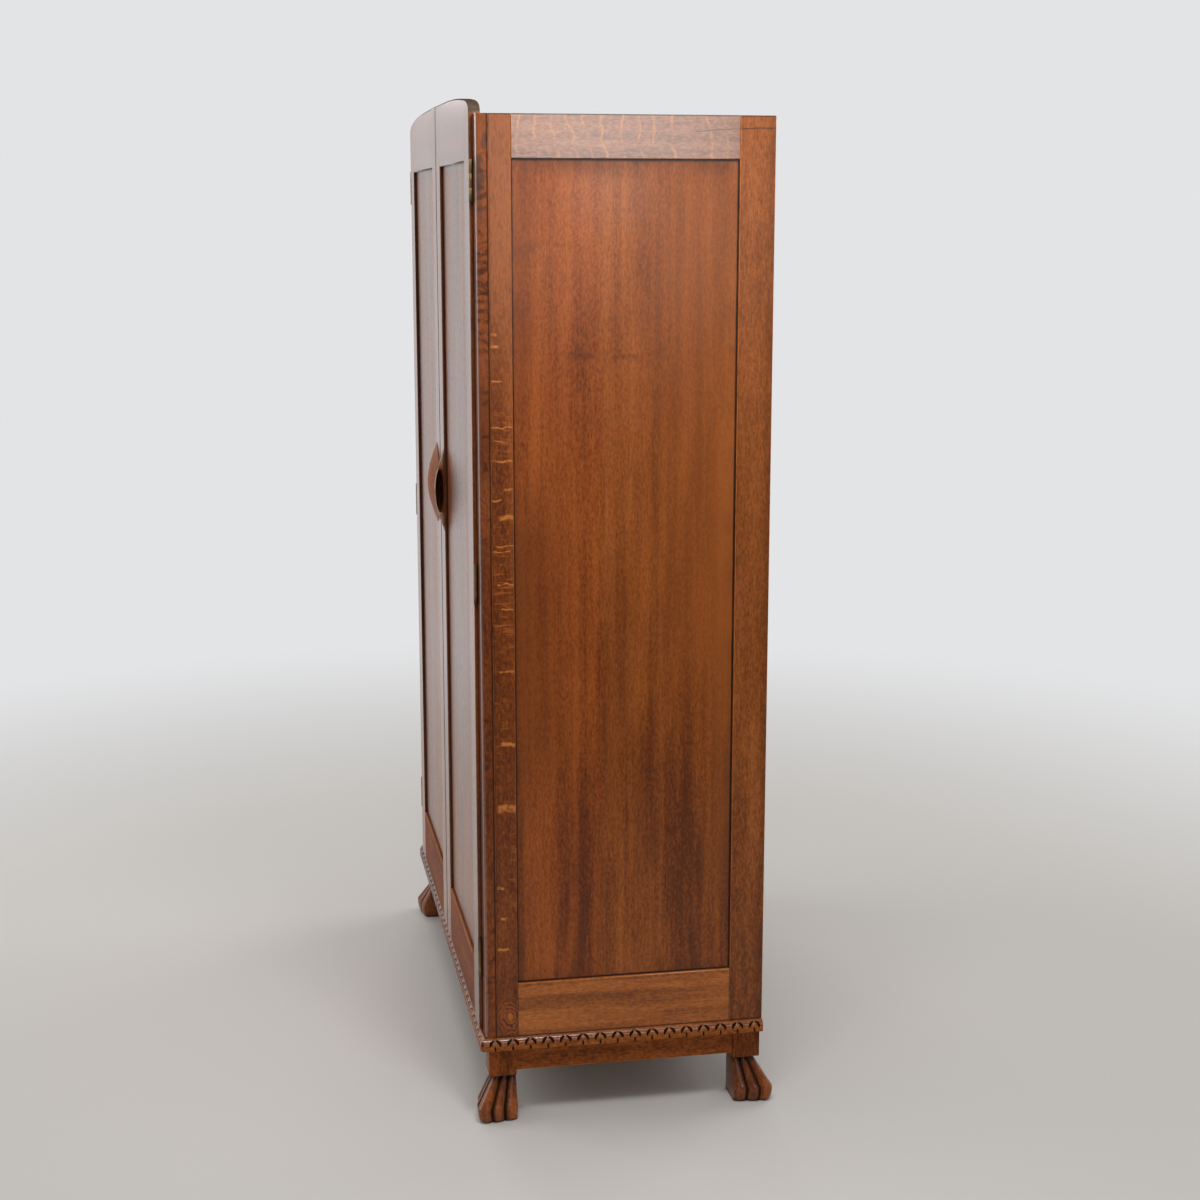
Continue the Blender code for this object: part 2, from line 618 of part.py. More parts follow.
def build_catch(side, sign, axis):
    """A spring clip under the head rail that grips a stud on the back of the door."""
    middle = DOOR_INNER + DOOR_STILE / 2
    top = HEAD_RAIL_BOTTOM - GAP
    low = top - CATCH_HEIGHT
    front = HEAD_RAIL_FACE + GAP
    rear = front + CATCH_DEPTH
    metal = CATCH_METAL
    outline = [(front, top), (rear, top), (rear, low), (front, low), (front, low + metal),
               (rear - metal, low + metal), (rear - metal, top - metal), (front, top - metal)]
    across = (sign * (middle - CATCH_WIDTH / 2), sign * (middle + CATCH_WIDTH / 2))
    settle(prism(outline, "X", *across), f"{side}_door_catch_clip", STEEL)
    centre = (sign * middle, top - CATCH_HEIGHT / 2)
    stud = prism(circle(centre, STUD_RADIUS, STUD_SIDES), "Y", DOOR_BACK + GAP, DOOR_BACK + GAP + STUD_LENGTH)
    settle(stud, f"{side}_door_catch_stud", BRASS, axis, smooth=True)


def hinge_axis(side, sign):
    """An empty on the line about which a door turns."""
    axis = bpy.data.objects.new(f"{side}_door_axis", None)
    axis.location = (sign * AXIS_X, AXIS_Y, DOOR_BOTTOM)
    bpy.context.collection.objects.link(axis)
    return axis


def build_wardrobe():
    """Build every piece of the wardrobe."""
    clear_scene()
    build_feet()
    build_aprons()
    build_mouldings()
    build_boards()
    build_hanging_rail()
    axes = {}
    for side, sign in SIDES:
        build_side(side, sign)
        build_strip(side, sign)
        axes[side] = hinge_axis(side, sign)
        build_door(side, sign, axes[side])
        build_pull(side, sign, axes[side])
        build_catch(side, sign, axes[side])
    build_hinges(axes)


build_wardrobe()
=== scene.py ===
"""Looks of a two-door oak wardrobe: worn oak, carved base and pulls, dull brass and plain boards inside.

Metres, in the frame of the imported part: +Z is up, the doors face -Y and the camera looks at the side that
faces +X.
"""
import json
from functools import reduce
from math import ceil, cos, exp, hypot, inf, pi, radians, sin

import bmesh
import bpy
from mathutils import Matrix, Vector

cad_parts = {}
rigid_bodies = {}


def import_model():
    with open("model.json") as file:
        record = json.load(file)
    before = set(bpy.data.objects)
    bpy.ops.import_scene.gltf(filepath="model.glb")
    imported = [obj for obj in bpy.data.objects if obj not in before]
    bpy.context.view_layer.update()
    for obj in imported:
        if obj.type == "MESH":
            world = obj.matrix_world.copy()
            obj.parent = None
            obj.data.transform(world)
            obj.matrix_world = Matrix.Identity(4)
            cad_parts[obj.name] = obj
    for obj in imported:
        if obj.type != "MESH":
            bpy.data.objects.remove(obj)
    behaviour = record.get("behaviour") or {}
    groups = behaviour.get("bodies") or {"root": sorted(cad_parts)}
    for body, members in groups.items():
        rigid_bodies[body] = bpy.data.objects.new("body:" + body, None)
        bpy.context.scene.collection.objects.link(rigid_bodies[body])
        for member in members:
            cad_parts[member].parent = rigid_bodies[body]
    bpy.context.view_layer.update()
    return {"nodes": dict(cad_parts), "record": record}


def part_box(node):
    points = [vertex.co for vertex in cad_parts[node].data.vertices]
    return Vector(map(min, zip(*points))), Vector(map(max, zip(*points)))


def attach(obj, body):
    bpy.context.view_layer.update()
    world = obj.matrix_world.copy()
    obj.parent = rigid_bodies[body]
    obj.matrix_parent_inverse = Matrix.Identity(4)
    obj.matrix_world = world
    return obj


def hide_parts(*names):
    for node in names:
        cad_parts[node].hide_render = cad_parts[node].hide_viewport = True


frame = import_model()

RECORD = frame["record"]
BODY_OF = {node: body for body, nodes in RECORD["behaviour"]["bodies"].items() for node in nodes}
SIDES = (("left", -1), ("right", 1))
AXES = {"X": 0, "Y": 1, "Z": 2}
CASE_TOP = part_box("right_side_rear_stile")[1].z
CASE_BOTTOM, SHELF = (corner.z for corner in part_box("right_base_moulding"))

# Camera, at the photograph's angle
CAMERA_PLACE = (3.8772, -0.6627, 1.6103)
CAMERA_DIRECTION = (-0.96478, 0.18015, -0.19171)
CAMERA_LENS = 59.38
SENSOR = 36.0

# Stage
FLOOR_REACH = 40.0
FLOOR_SIDES = 96
FLOOR_COLOUR = (0.69, 0.665, 0.63)
FLOOR_FADE = (1.2, 3.6)
BACKDROP = (0.77, 0.775, 0.785)
FILL_LIGHT = 0.37
ROOM_BEHIND = 0.2
FLOOR_BEHIND = (0.6, 3.0)
SKY_BEHIND = (-0.2, 0.6)

# Lamps: name, place, what each is aimed at, size and power in watts
LAMPS = (("key", (1.50, -0.20, 2.45), (0.56, -0.02, 1.50), (1.2, 0.8), 17.0),
         ("glint", (1.50, 0.10, 2.45), (0.56, -0.10, 1.00), (0.3, 0.3), 6.5),
         ("window", (5.5, 0.93, 1.95), (0.56, 0.05, 1.70), (1.2, 1.5), 22.0),
         ("front", (-0.9, -3.6, 2.7), (0.0, -0.2, 0.9), (2.6, 2.0), 45.0),
         ("left", (-2.6, -0.3, 2.5), (-0.56, 0.0, 1.1), (1.8, 1.2), 22.0),
         ("rear", (-1.6, 3.4, 2.6), (0.0, 0.2, 0.9), (2.6, 2.0), 42.0))

# Colours of the woods, from deep to pale
PANEL_OAK = ((0.120, 0.0260, 0.0040), (0.262, 0.0640, 0.0090), (0.390, 0.1080, 0.0190))
FRAME_OAK = ((0.115, 0.0280, 0.0045), (0.262, 0.0670, 0.0110), (0.400, 0.1180, 0.0260))
FRONT_OAK = ((0.100, 0.0220, 0.0040), (0.220, 0.0510, 0.0080), (0.345, 0.0930, 0.0190))
RAIL_OAK = ((0.220, 0.0580, 0.0100), (0.405, 0.1160, 0.0190), (0.560, 0.1740, 0.0360))
# The top rail's oak is paler and greyer than the rest: its own paler figure, with a painted sheen
TOP_OAK_PAINTED_SHEEN = ((0.152, 0.0525, 0.0200), (0.272, 0.1050, 0.0460), (0.380, 0.1610, 0.0790))
STRIP_OAK = ((0.085, 0.0190, 0.0045), (0.190, 0.0450, 0.0100), (0.290, 0.0760, 0.0190))
CARVED_OAK = ((0.090, 0.0220, 0.0040), (0.240, 0.0640, 0.0100), (0.400, 0.1250, 0.0250))
FOOT_OAK = ((0.125, 0.0290, 0.0042), (0.310, 0.0740, 0.0100), (0.460, 0.1280, 0.0240))
PLAIN_WOOD = ((0.180, 0.086, 0.034), (0.300, 0.160, 0.071), (0.390, 0.226, 0.112))
# Dark, matte finish for faces that look up and for edges above the case top
MATTE_TOP_WOOD = ((0.068, 0.045, 0.031), (0.102, 0.069, 0.047), (0.136, 0.095, 0.066))
# Greyish pale tint for the painted sheen at the head of the front uprights
PAINTED_SHEEN_OAK = (0.385, 0.126, 0.042)
# Pale colour on the pulls' rims: wear with a painted highlight
RIM_WEAR_AND_HIGHLIGHT = (0.70, 0.47, 0.34)
# Near-black for dirt and for painted shade in joints, recesses, grooves, hollows and under overhangs
DIRT_AND_SHADE = (0.016, 0.0075, 0.004)

# Figure of the woods: waves to the metre across the grain and along it, detail, shift and distortion
OAK_FIGURE = ((6.5, 1.1), (19.0, 4.5, 3.0, 1.3, 0.3), (62.0, 1.6, 3.0, 4.9), (260.0, 130.0, 2.0, 3.1, 0.4),
              (420.0, 30.0, 2.0, 7.7))
BOARD_FIGURE = ((4.0, 0.8, 3.0), (30.0, 1.0, 3.0, 2.0, 0.8), (380.0, 14.0, 2.0, 4.0))
NOISE_RANGE = (0.3, 0.7)
FIBRES = 0.2

# Metals: colour, tarnish and roughness
BRASS = ((0.27, 0.185, 0.090), (0.10, 0.064, 0.034), 0.46)
STEEL = ((0.36, 0.35, 0.33), (0.20, 0.19, 0.18), 0.45)

# Marks on the right-hand side, where the photograph shows them
VENEER_JOINT = -0.041
CRACK = (0.105, 0.262, 1.741, 0.011)
KNOT = ((-0.207, 0.195), 0.034)
LADDER = (1.375, 1.58, 0.0165, 0.7)
STAIN = (1.60, 1.76)
FLECKS = ((1.410, 0.0022, 0.0, 0.3), (1.390, 0.0026, 0.0, 0.4), (1.332, 0.0014, 0.05, 0.5),
          (1.254, 0.0014, 0.0, 1.0), (1.231, 0.0009, 0.0, 0.55), (1.198, 0.0017, 0.0, 1.0),
          (1.149, 0.0026, 0.6, 1.0), (1.130, 0.0014, 0.0, 0.45), (1.099, 0.0036, 0.35, 1.0),
          (1.051, 0.0010, 0.2, 1.0), (1.042, 0.0010, 0.0, 0.85), (0.985, 0.0016, 0.25, 1.0),
          (0.940, 0.0012, 0.4, 1.0), (0.832, 0.0016, 0.3, 1.0), (0.700, 0.0034, 0.35, 1.0),
          (0.585, 0.0064, 0.15, 1.0), (0.439, 0.0028, 0.1, 0.4), (0.383, 0.0026, 0.25, 0.5),
          (0.323, 0.0024, 0.1, 0.6))

# Softened arrises
ARRIS = 0.0011
DOOR_ARRIS = 0.0022
LEDGE_ARRIS = 0.0018
MEETING_ARRIS = 0.0042
MEETING_REACH = 0.0020
# Darkness of the doors' meeting edges: dirt and painted shade
MEETING_SOIL_AND_SHADE = 0.85
TOUCH = 0.0004
CLEAR = 0.02
DOOR_RUB = 0.25
LEDGE_RUB = 0.7
UPWARD = 0.3
EDGE_ON = 0.5
METAL_ARRIS = 0.0003
ARRIS_STEPS = 2
MERGE = 0.00001
NEAR = 0.00005
FLAT = radians(1.0)
SHARP = radians(40.0)
SMOOTH_BELOW = radians(35.0)

# Feet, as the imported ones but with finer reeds
BLOCK_SIZE = 0.050
FOOT_HEIGHT = 0.082
NECK_INSET = 0.010
FLARE_REACH = 0.023
SOLE_REACH = 0.013
FLARE_HEIGHT = 0.028
REED_DEPTH = 0.0060
REED_BREAKS = (0.0, 0.35, 0.67)
FAN_TAPER = 0.008
REED_STEPS = 14
REED_FULLNESS = 0.9
CORNER_STEPS = 16
CORNER_POWER = 4
TOE_STEPS = 10
TOE_POWER = 2.6
SHAFT_STEPS = 8
BLOCK_ARRIS = 0.0009
# Dark polish and painted shade in the reeds' grooves, under the block and along the sole
GROOVE_SOIL_AND_SHADE = ((0.045, 1.0), (0.11, 0.35))
NECK_SOIL_AND_SHADE = 0.014
SOLE_SOIL_AND_SHADE = 0.006

# Base moulding
MOULDING_FACE = 0.011
MOULDING_CORNER = 0.011
SIDE_MOTIFS = 16
FRONT_MOTIFS = 35
CARVING_STEP = 0.0008
CARVING_SHARP = radians(60.0)
FACE_ROWS = 14
ROUND_ROWS = 22
GOUGE_DEPTH = 0.0034
GOUGE_TOP = (0.0007, 0.0200)
GOUGE_FOOT = (0.0096, 0.0078)
GOUGE_BOW = 0.0024
GOUGE_WIDTH = 0.0027
NOTCH_DEPTH = 0.0030
NOTCH_WIDTH = 0.0025
NOTCH_TOP = 0.0086

# Pulls
PULL_LENGTH = 0.160
PULL_PROUD = 0.0195
PULL_EDGE = 0.0012
PULL_TIP_EDGE = 0.0002
PULL_RIM = 0.0020
# Width of the pale band round a pull's rim: wear with a painted highlight
PULL_WEAR_AND_HIGHLIGHT = 0.0030
PULL_MARGIN = 0.004
PULL_TIP_WIDTH = 0.006
PULL_SWELL_POWER = 1.15
PULL_FALL = 1.25
PULL_OUTLINE_POWER = 0.6
PULL_STATIONS = 64
PULL_STEPS = 24
RIM_STEPS = 4
PULL_HOLLOW = (0.020, 0.0079, 0.0415)
PULL_FLOOR = 0.0010
HOLLOW_SIDES = 64
HOLLOW_RINGS = 40

# Screws in the hinge leaves and pins round the back
SCREW_RADIUS = 0.0025
SCREW_SLOT = (0.0007, 0.0005)
SCREW_PROUD = 0.0003
SCREW_SUNK = 0.0005
SCREW_SIDES = 28
SCREW_SPREAD = 0.024
SCREW_TURNS = (0.4, 1.1, 2.3)
PIN_RADIUS = 0.0019
PIN_PROUD = 0.0005
PIN_SPACING = 0.105
PIN_INSET = 0.011
PIN_SIDES = 16


class Nodes:
    """Writes nodes into a tree, a call to a node."""

    def __init__(self, tree):
        self.tree = tree

    def add(self, kind, settings=None, inputs=None):
        node = self.tree.nodes.new("ShaderNode" + kind)
        for key, value in (settings or {}).items():
            setattr(node, key, value)
        for key, value in (inputs or {}).items():
            self.feed(node.inputs[key], value)
        return node

    def feed(self, socket, value):
        if isinstance(value, bpy.types.NodeSocket):
            self.tree.links.new(value, socket)
        else:
            socket.default_value = value

    def blend(self, value, low, high, first, last):
        """A value that goes evenly from first to last as another goes from low to high."""
        inputs = {"Value": value, "From Min": low, "From Max": high, "To Min": first, "To Max": last}
        return self.add("MapRange", None, inputs).outputs["Result"]


class Finish(Nodes):
    """Writes one material."""

    def __init__(self, name):
        self.material = bpy.data.materials.new(name)
        self.material.use_nodes = True
        super().__init__(self.material.node_tree)
        self.shader = self.tree.nodes["Principled BSDF"]
        self.place = self.add("TexCoord").outputs["Object"]
        self.x, self.y, self.z = self.add("SeparateXYZ", None, {0: self.place}).outputs

    def along(self, axis):
        return (self.x, self.y, self.z)[AXES[axis]]

    def outward(self, axis):
        """Place along an axis, counted from the middle towards both sides where the axis is X."""
        return self.sum("ABSOLUTE", self.x) if axis == "X" else self.along(axis)

    def sum(self, operation, a, b=0.0):
        return self.add("Math", {"operation": operation}, {0: a, 1: b}).outputs[0]

    def minus(self, a, b):
        return self.sum("SUBTRACT", a, b)

    def times(self, *values):
        return reduce(lambda a, b: self.sum("MULTIPLY", a, b), values)

    def plus(self, *values):
        return reduce(lambda a, b: self.sum("ADD", a, b), values)

    def least(self, values):
        return reduce(lambda a, b: self.sum("MINIMUM", a, b), values)

    def far(self, value, middle):
        return self.sum("ABSOLUTE", self.minus(value, middle))

    def span(self, value, low, high):
        """How far a value is on its way from low to high, eased, from 0 to 1."""
        inputs = {"Value": value, "From Min": low, "From Max": high}
        return self.add("MapRange", {"interpolation_type": "SMOOTHSTEP"}, inputs).outputs["Result"]

    def within(self, value, low, high, soft):
        """1 between two limits and 0 outside them, with soft ends."""
        begun = self.span(value, low - soft, low + soft)
        return self.times(begun, self.span(value, high + soft, high - soft))

    def noise(self, stretch, detail=2.0, seed=0.0, distortion=0.0, rough=0.5):
        """Noise with so many waves to the metre along X, Y and Z."""
        scaled = self.add("VectorMath", {"operation": "MULTIPLY_ADD"},
                          {0: self.place, 1: stretch, 2: (seed, seed * 1.7, seed * 0.6)})
        inputs = {"Vector": scaled.outputs[0], "Scale": 1.0, "Detail": detail, "Roughness": rough,
                  "Distortion": distortion}
        return self.add("TexNoise", None, inputs).outputs["Fac"]

    def mix(self, share, a, b, kind="MIX"):
        """Mix two colours."""
        node = self.add("Mix", {"data_type": "RGBA", "blend_type": kind, "clamp_factor": True}, {0: share})
        for socket, colour in ((node.inputs[6], a), (node.inputs[7], b)):
            self.feed(socket, colour if isinstance(colour, bpy.types.NodeSocket) else (*colour, 1.0))
        return node.outputs[2]

    def ramp(self, value, stops):
        node = self.add("ValToRGB", None, {"Fac": value})
        elements = node.color_ramp.elements
        while len(elements) < len(stops):
            elements.new(1.0)
        for element, (place, colour) in zip(elements, stops):
            element.position = place
            element.color = (*colour, 1.0)
        return node.outputs["Color"]

    def marked(self, name):
        """A value stored in the mesh."""
        return self.add("Attribute", {"attribute_name": name}).outputs["Fac"]

    def bump(self, height, distance, strength=1.0):
        inputs = {"Height": height, "Distance": distance, "Strength": strength}
        self.feed(self.shader.inputs["Normal"], self.add("Bump", None, inputs).outputs["Normal"])

    def set(self, **values):
        """Set the shader's own sockets."""
        for key, value in values.items():
            self.feed(self.shader.inputs[key.replace("_", " ")], value)


class Wood(Finish):
    """Writes one wood: the axis of its grain, its shades from deep to pale and a seed of its own."""

    def __init__(self, name, grain, shades, seed):
        super().__init__(name)
        self.grain = grain
        self.deep, self.middle, self.pale = shades
        self.seed = seed

    def figure(self, across, along, detail=2.0, shift=0.0, distortion=0.0):
        """Noise with so many waves to the metre across the grain and along it."""
        stretch = [across] * 3
        stretch[AXES[self.grain]] = along
        return self.noise(tuple(stretch), detail, self.seed + shift, distortion)

    def layers(self, settings):
        """Even layers of figure, one for each row of settings."""
        return [self.span(self.figure(*row), *NOISE_RANGE) for row in settings]


def toned(colour, share):
    """A lighter or darker shade of a colour."""
    return tuple(share * c for c in colour)


def oak(name, grain, shades, seed, marks=(), roughness=0.34, figuring=(0.5, 0.4, 0.2, 0.5), sheen=0.22,
        coat=(0.0, 0.16), worn=None, index=1.5, polished=()):
    """Polished oak with its grain along one axis.

    Shades go from deep to pale, and marks are painted over them. Figuring holds the strength of patches,
    clouds, streaks and specks. Coat holds the weight and roughness of the polish, index how strongly it
    reflects, and polished the axes with the two places on each between which it comes in.
    """
    f = Wood(name, grain, shades, seed)
    worn = worn or tuple(min(1.0, 1.35 * c) for c in f.pale)
    layers = f.layers(OAK_FIGURE)
    patches, fibres = layers[0], layers[-1]
    tone = 0.5
    for layer, weight in zip(layers, (*figuring, FIBRES)):
        tone = f.plus(f.times(f.minus(layer, 0.5), weight), tone)
    colour = f.ramp(tone, ((0.0, f.deep), (0.5, f.middle), (1.0, f.pale)))

    pores = f.span(f.figure(1000.0, 80.0, 1.0, 11.3), 0.58, 0.7)
    colour = f.mix(f.times(pores, 0.45), colour, toned(f.deep, 0.4))
    for mark in marks:
        colour = mark(f, colour)
    # Rubbed edges take the worn colour; on the pulls' rims that colour is also a painted highlight.
    rubbed = f.span(f.noise((60, 60, 60), 3.0, seed), 0.2, 0.55)
    colour = f.mix(f.times(f.marked("wear_and_highlight"), rubbed, 0.85), colour, worn)
    # Darkness stored in the mesh: real dirt, and painted shade in the feet's grooves, the carving, the pulls'
    # hollows and the doors' meeting edges
    soil_and_shade = f.marked("soil_and_shade")
    colour = f.mix(soil_and_shade, colour, DIRT_AND_SHADE)

    shine = f.plus(f.times(patches, 0.08), roughness - 0.04, f.times(pores, 0.15))
    clean = f.minus(1.0, f.times(soil_and_shade, 0.85))
    weight, smoothness = coat
    f.set(Base_Color=colour, Roughness=shine, Specular_IOR_Level=f.times(clean, sheen))
    polish = f.times(clean, weight) if weight else 0.0
    for axis, start, end in polished:
        polish = f.times(f.span(f.outward(axis), start, end), polish)
    f.set(Coat_Weight=polish, Coat_Roughness=smoothness, Coat_IOR=index)
    f.bump(f.plus(f.times(pores, -0.6), f.times(fibres, 0.25)), 0.0004, 0.35)
    return f.material


def painted(paint):
    """Make a mark for oak out of a way to paint it: its settings come first, the material later."""

    def choose(*settings):
        return lambda wood, colour: paint(wood, colour, *settings)

    return choose


@painted
def recess_dirt_and_shade(f, colour, rim, cloudy):
    """Dark polish and painted shade along the edges of a sunk panel, from the axis across it and its visible
    limits: a dark line in the corner and a hazy painted shade further out.
    """
    axis, (left, right), (low, high) = rim
    across = f.outward(axis)
    near = f.least([f.minus(across, left), f.minus(right, across), f.minus(f.z, low), f.minus(high, f.z)])
    line = f.span(near, 0.0042, 0.0016)
    shade_haze = f.times(f.span(near, 0.045, 0.0), f.span(f.noise((14, 14, 14), 3.0, 2.2), 0.25, 0.7))
    return f.mix(f.plus(f.times(line, 0.85), f.times(shade_haze, cloudy)), colour, DIRT_AND_SHADE)


@painted
def joints_and_shade(f, colour, axis, places, reach=0.0014, share=0.8):
    """Dark lines at places along an axis: dark joints where a piece meets its neighbours, and at some places
    painted shade, under an overhang, along a recess or beside the doors' gap.
    """
    near = f.least([f.far(f.along(axis), place) for place in places])
    return f.mix(f.times(f.span(near, reach, reach * 0.35), share), colour, DIRT_AND_SHADE)


@painted
def flecks(f, colour, share, low, high):
    """Pale medullary flecks lying across the grain, in clusters between two heights."""
    lines = f.span(f.figure(24.0, 170.0, 2.0, 5.9, 0.8), 0.56, 0.68)
    clusters = f.span(f.figure(16.0, 6.0, 1.0, 9.4), 0.42, 0.6)
    glow = f.times(lines, clusters, f.within(f.z, low, high, 0.05), share)
    return f.mix(glow, colour, toned(f.pale, 1.3))


@painted
def placed_flecks(f, colour, limits, places, share):
    """Single bright flecks: the height and half thickness of each, and where across it starts and ends."""
    first, last = limits
    height = f.plus(f.z, f.times(f.minus(f.noise((1, 60, 14), 2.0, 3.7), 0.5), 0.012))
    ragged = f.times(f.noise((1, 130, 160), 2.0, 6.1), 0.9)
    found = 0.0
    for level, half, start, end in places:
        near = f.span(f.far(height, level), 1.5 * half, 0.4 * half)
        across = f.within(f.y, first + (last - first) * start, first + (last - first) * end, 0.0025)
        found = f.sum("MAXIMUM", f.times(near, across), found)
    return f.mix(f.times(found, f.span(ragged, 0.2, 0.5), share), colour, (0.62, 0.205, 0.045))


@painted
def rays(f, colour, share, rear):
    """Pale ray flecks that wander down a rail across its grain; the rail is browner towards its rear end,
    where its painted sheen falls away.
    """
    wander = f.times(f.noise((1, 11, 17), 2.0, 2.7), 10.0)
    phase = f.plus(f.times(f.y, 2 * pi / 0.029), f.times(f.z, 24.0), wander)
    broken = f.span(f.noise((1, 26, 30), 2.0, 8.1), 0.36, 0.58)
    lines = f.times(f.span(f.sum("SINE", phase), 0.80, 1.0), broken, share)
    colour = f.mix(lines, colour, (0.52, 0.19, 0.045))
    brown = f.plus(f.span(f.y, rear - 0.16, rear), f.times(f.noise((20, 30, 40), 3.0, 4.4), 0.5))
    return f.mix(f.times(f.span(brown, 0.6, 1.3), 0.6), colour, (0.78, 0.58, 0.42), "MULTIPLY")


@painted
def painted_light_above(f, colour, low, high, share, tint=None):
    """Painted light: a piece that pales from one height to another, brighter towards its top."""
    pale = tint or toned(f.pale, 1.05)
    return f.mix(f.times(f.span(f.z, low, high), share), colour, pale)


@painted
def veins(f, colour, across, along, share):
    """Dark veins along the grain."""
    lines = f.span(f.figure(across, along, 3.0, 19.0, 0.6), 0.48, 0.66)
    return f.mix(f.times(lines, share), colour, toned(f.deep, 0.4))


@painted
def darker_towards(f, colour, axis, start, end, share):
    """A darker margin, in patches, that fades in from one place along an axis to another."""
    patchy = f.span(f.noise((40, 40, 9), 3.0, 12.4), 0.3, 0.62)
    dark = f.times(f.span(f.along(axis), start, end), patchy, share)
    return f.mix(dark, colour, toned(f.deep, 0.5))


@painted
def ladder(f, colour, low, high, pitch, share):
    """Smudged dark bars across a strip between two heights, and looser ones elsewhere."""
    ink = toned(f.deep, 0.3)
    wander = f.times(f.noise((30, 30, 26), 3.0, 5.2), 11.0)
    phase = f.plus(f.times(f.z, 2 * pi / pitch), f.times(f.y, 60.0), wander)
    broken = f.span(f.noise((60, 110, 70), 3.0, 7.9), 0.32, 0.6)
    bars = f.times(f.span(f.sum("SINE", phase), -0.3, 0.8), broken, share)
    colour = f.mix(f.times(bars, f.within(f.z, low, high, 0.03)), colour, ink)
    shade = f.within(f.z, low - 0.21, low - 0.04, 0.05)
    colour = f.mix(f.times(shade, 0.45), colour, f.deep)
    loose = f.span(f.noise((20, 34, 60), 3.0, 13.6, 0.9), 0.54, 0.66)
    clusters = f.span(f.noise((6, 6, 5), 1.0, 15.2), 0.42, 0.6)
    return f.mix(f.times(loose, clusters, 0.6), colour, ink)


@painted
def stain(f, colour, low, high):
    """Grey-brown blotches at the head of a piece."""
    blot = f.span(f.noise((60, 60, 28), 3.0, 6.6, 0.6), 0.4, 0.62)
    return f.mix(f.times(blot, f.within(f.z, low, high, 0.03), 0.65), colour, (0.045, 0.034, 0.029))


@painted
def knot(f, colour, place, reach):
    """Pale rings round a small knot, on the right-hand side of the case."""
    centre_y, centre_z = place
    across = f.minus(f.y, centre_y)
    along = f.times(f.minus(f.z, centre_z), 0.7)
    away = f.sum("SQRT", f.plus(f.times(across, across), f.times(along, along)))
    rough = f.plus(away, f.times(f.noise((42, 42, 42), 3.0, 1.9), 0.022))
    rings = f.span(f.sum("SINE", f.times(rough, 2 * pi / 0.0062)), 0.15, 0.9)
    seen = f.times(f.span(away, reach, reach * 0.45), f.span(f.x, -0.01, 0.01))
    colour = f.mix(f.times(rings, seen, 0.65), colour, toned(f.pale, 1.2))
    return f.mix(f.times(f.span(away, 0.008, 0.002), f.times(seen, 0.7)), colour, (0.55, 0.17, 0.035))


@painted
def crack(f, colour, start, end, height, rise):
    """A hairline drying crack that climbs towards the back of the right-hand side."""
    share = f.blend(f.y, start, end, 0.0, 1.0)
    wave = f.times(f.minus(f.noise((1, 40, 1), 3.0, 3.3), 0.5), 0.006)
    line = f.plus(f.times(f.sum("SQRT", share), rise), height, wave)
    near = f.span(f.far(f.z, line), 0.0011, 0.0003)
    seen = f.times(near, f.span(share, 0.0, 0.1), f.span(f.x, -0.01, 0.01), 0.85)
    return f.mix(seen, colour, DIRT_AND_SHADE)


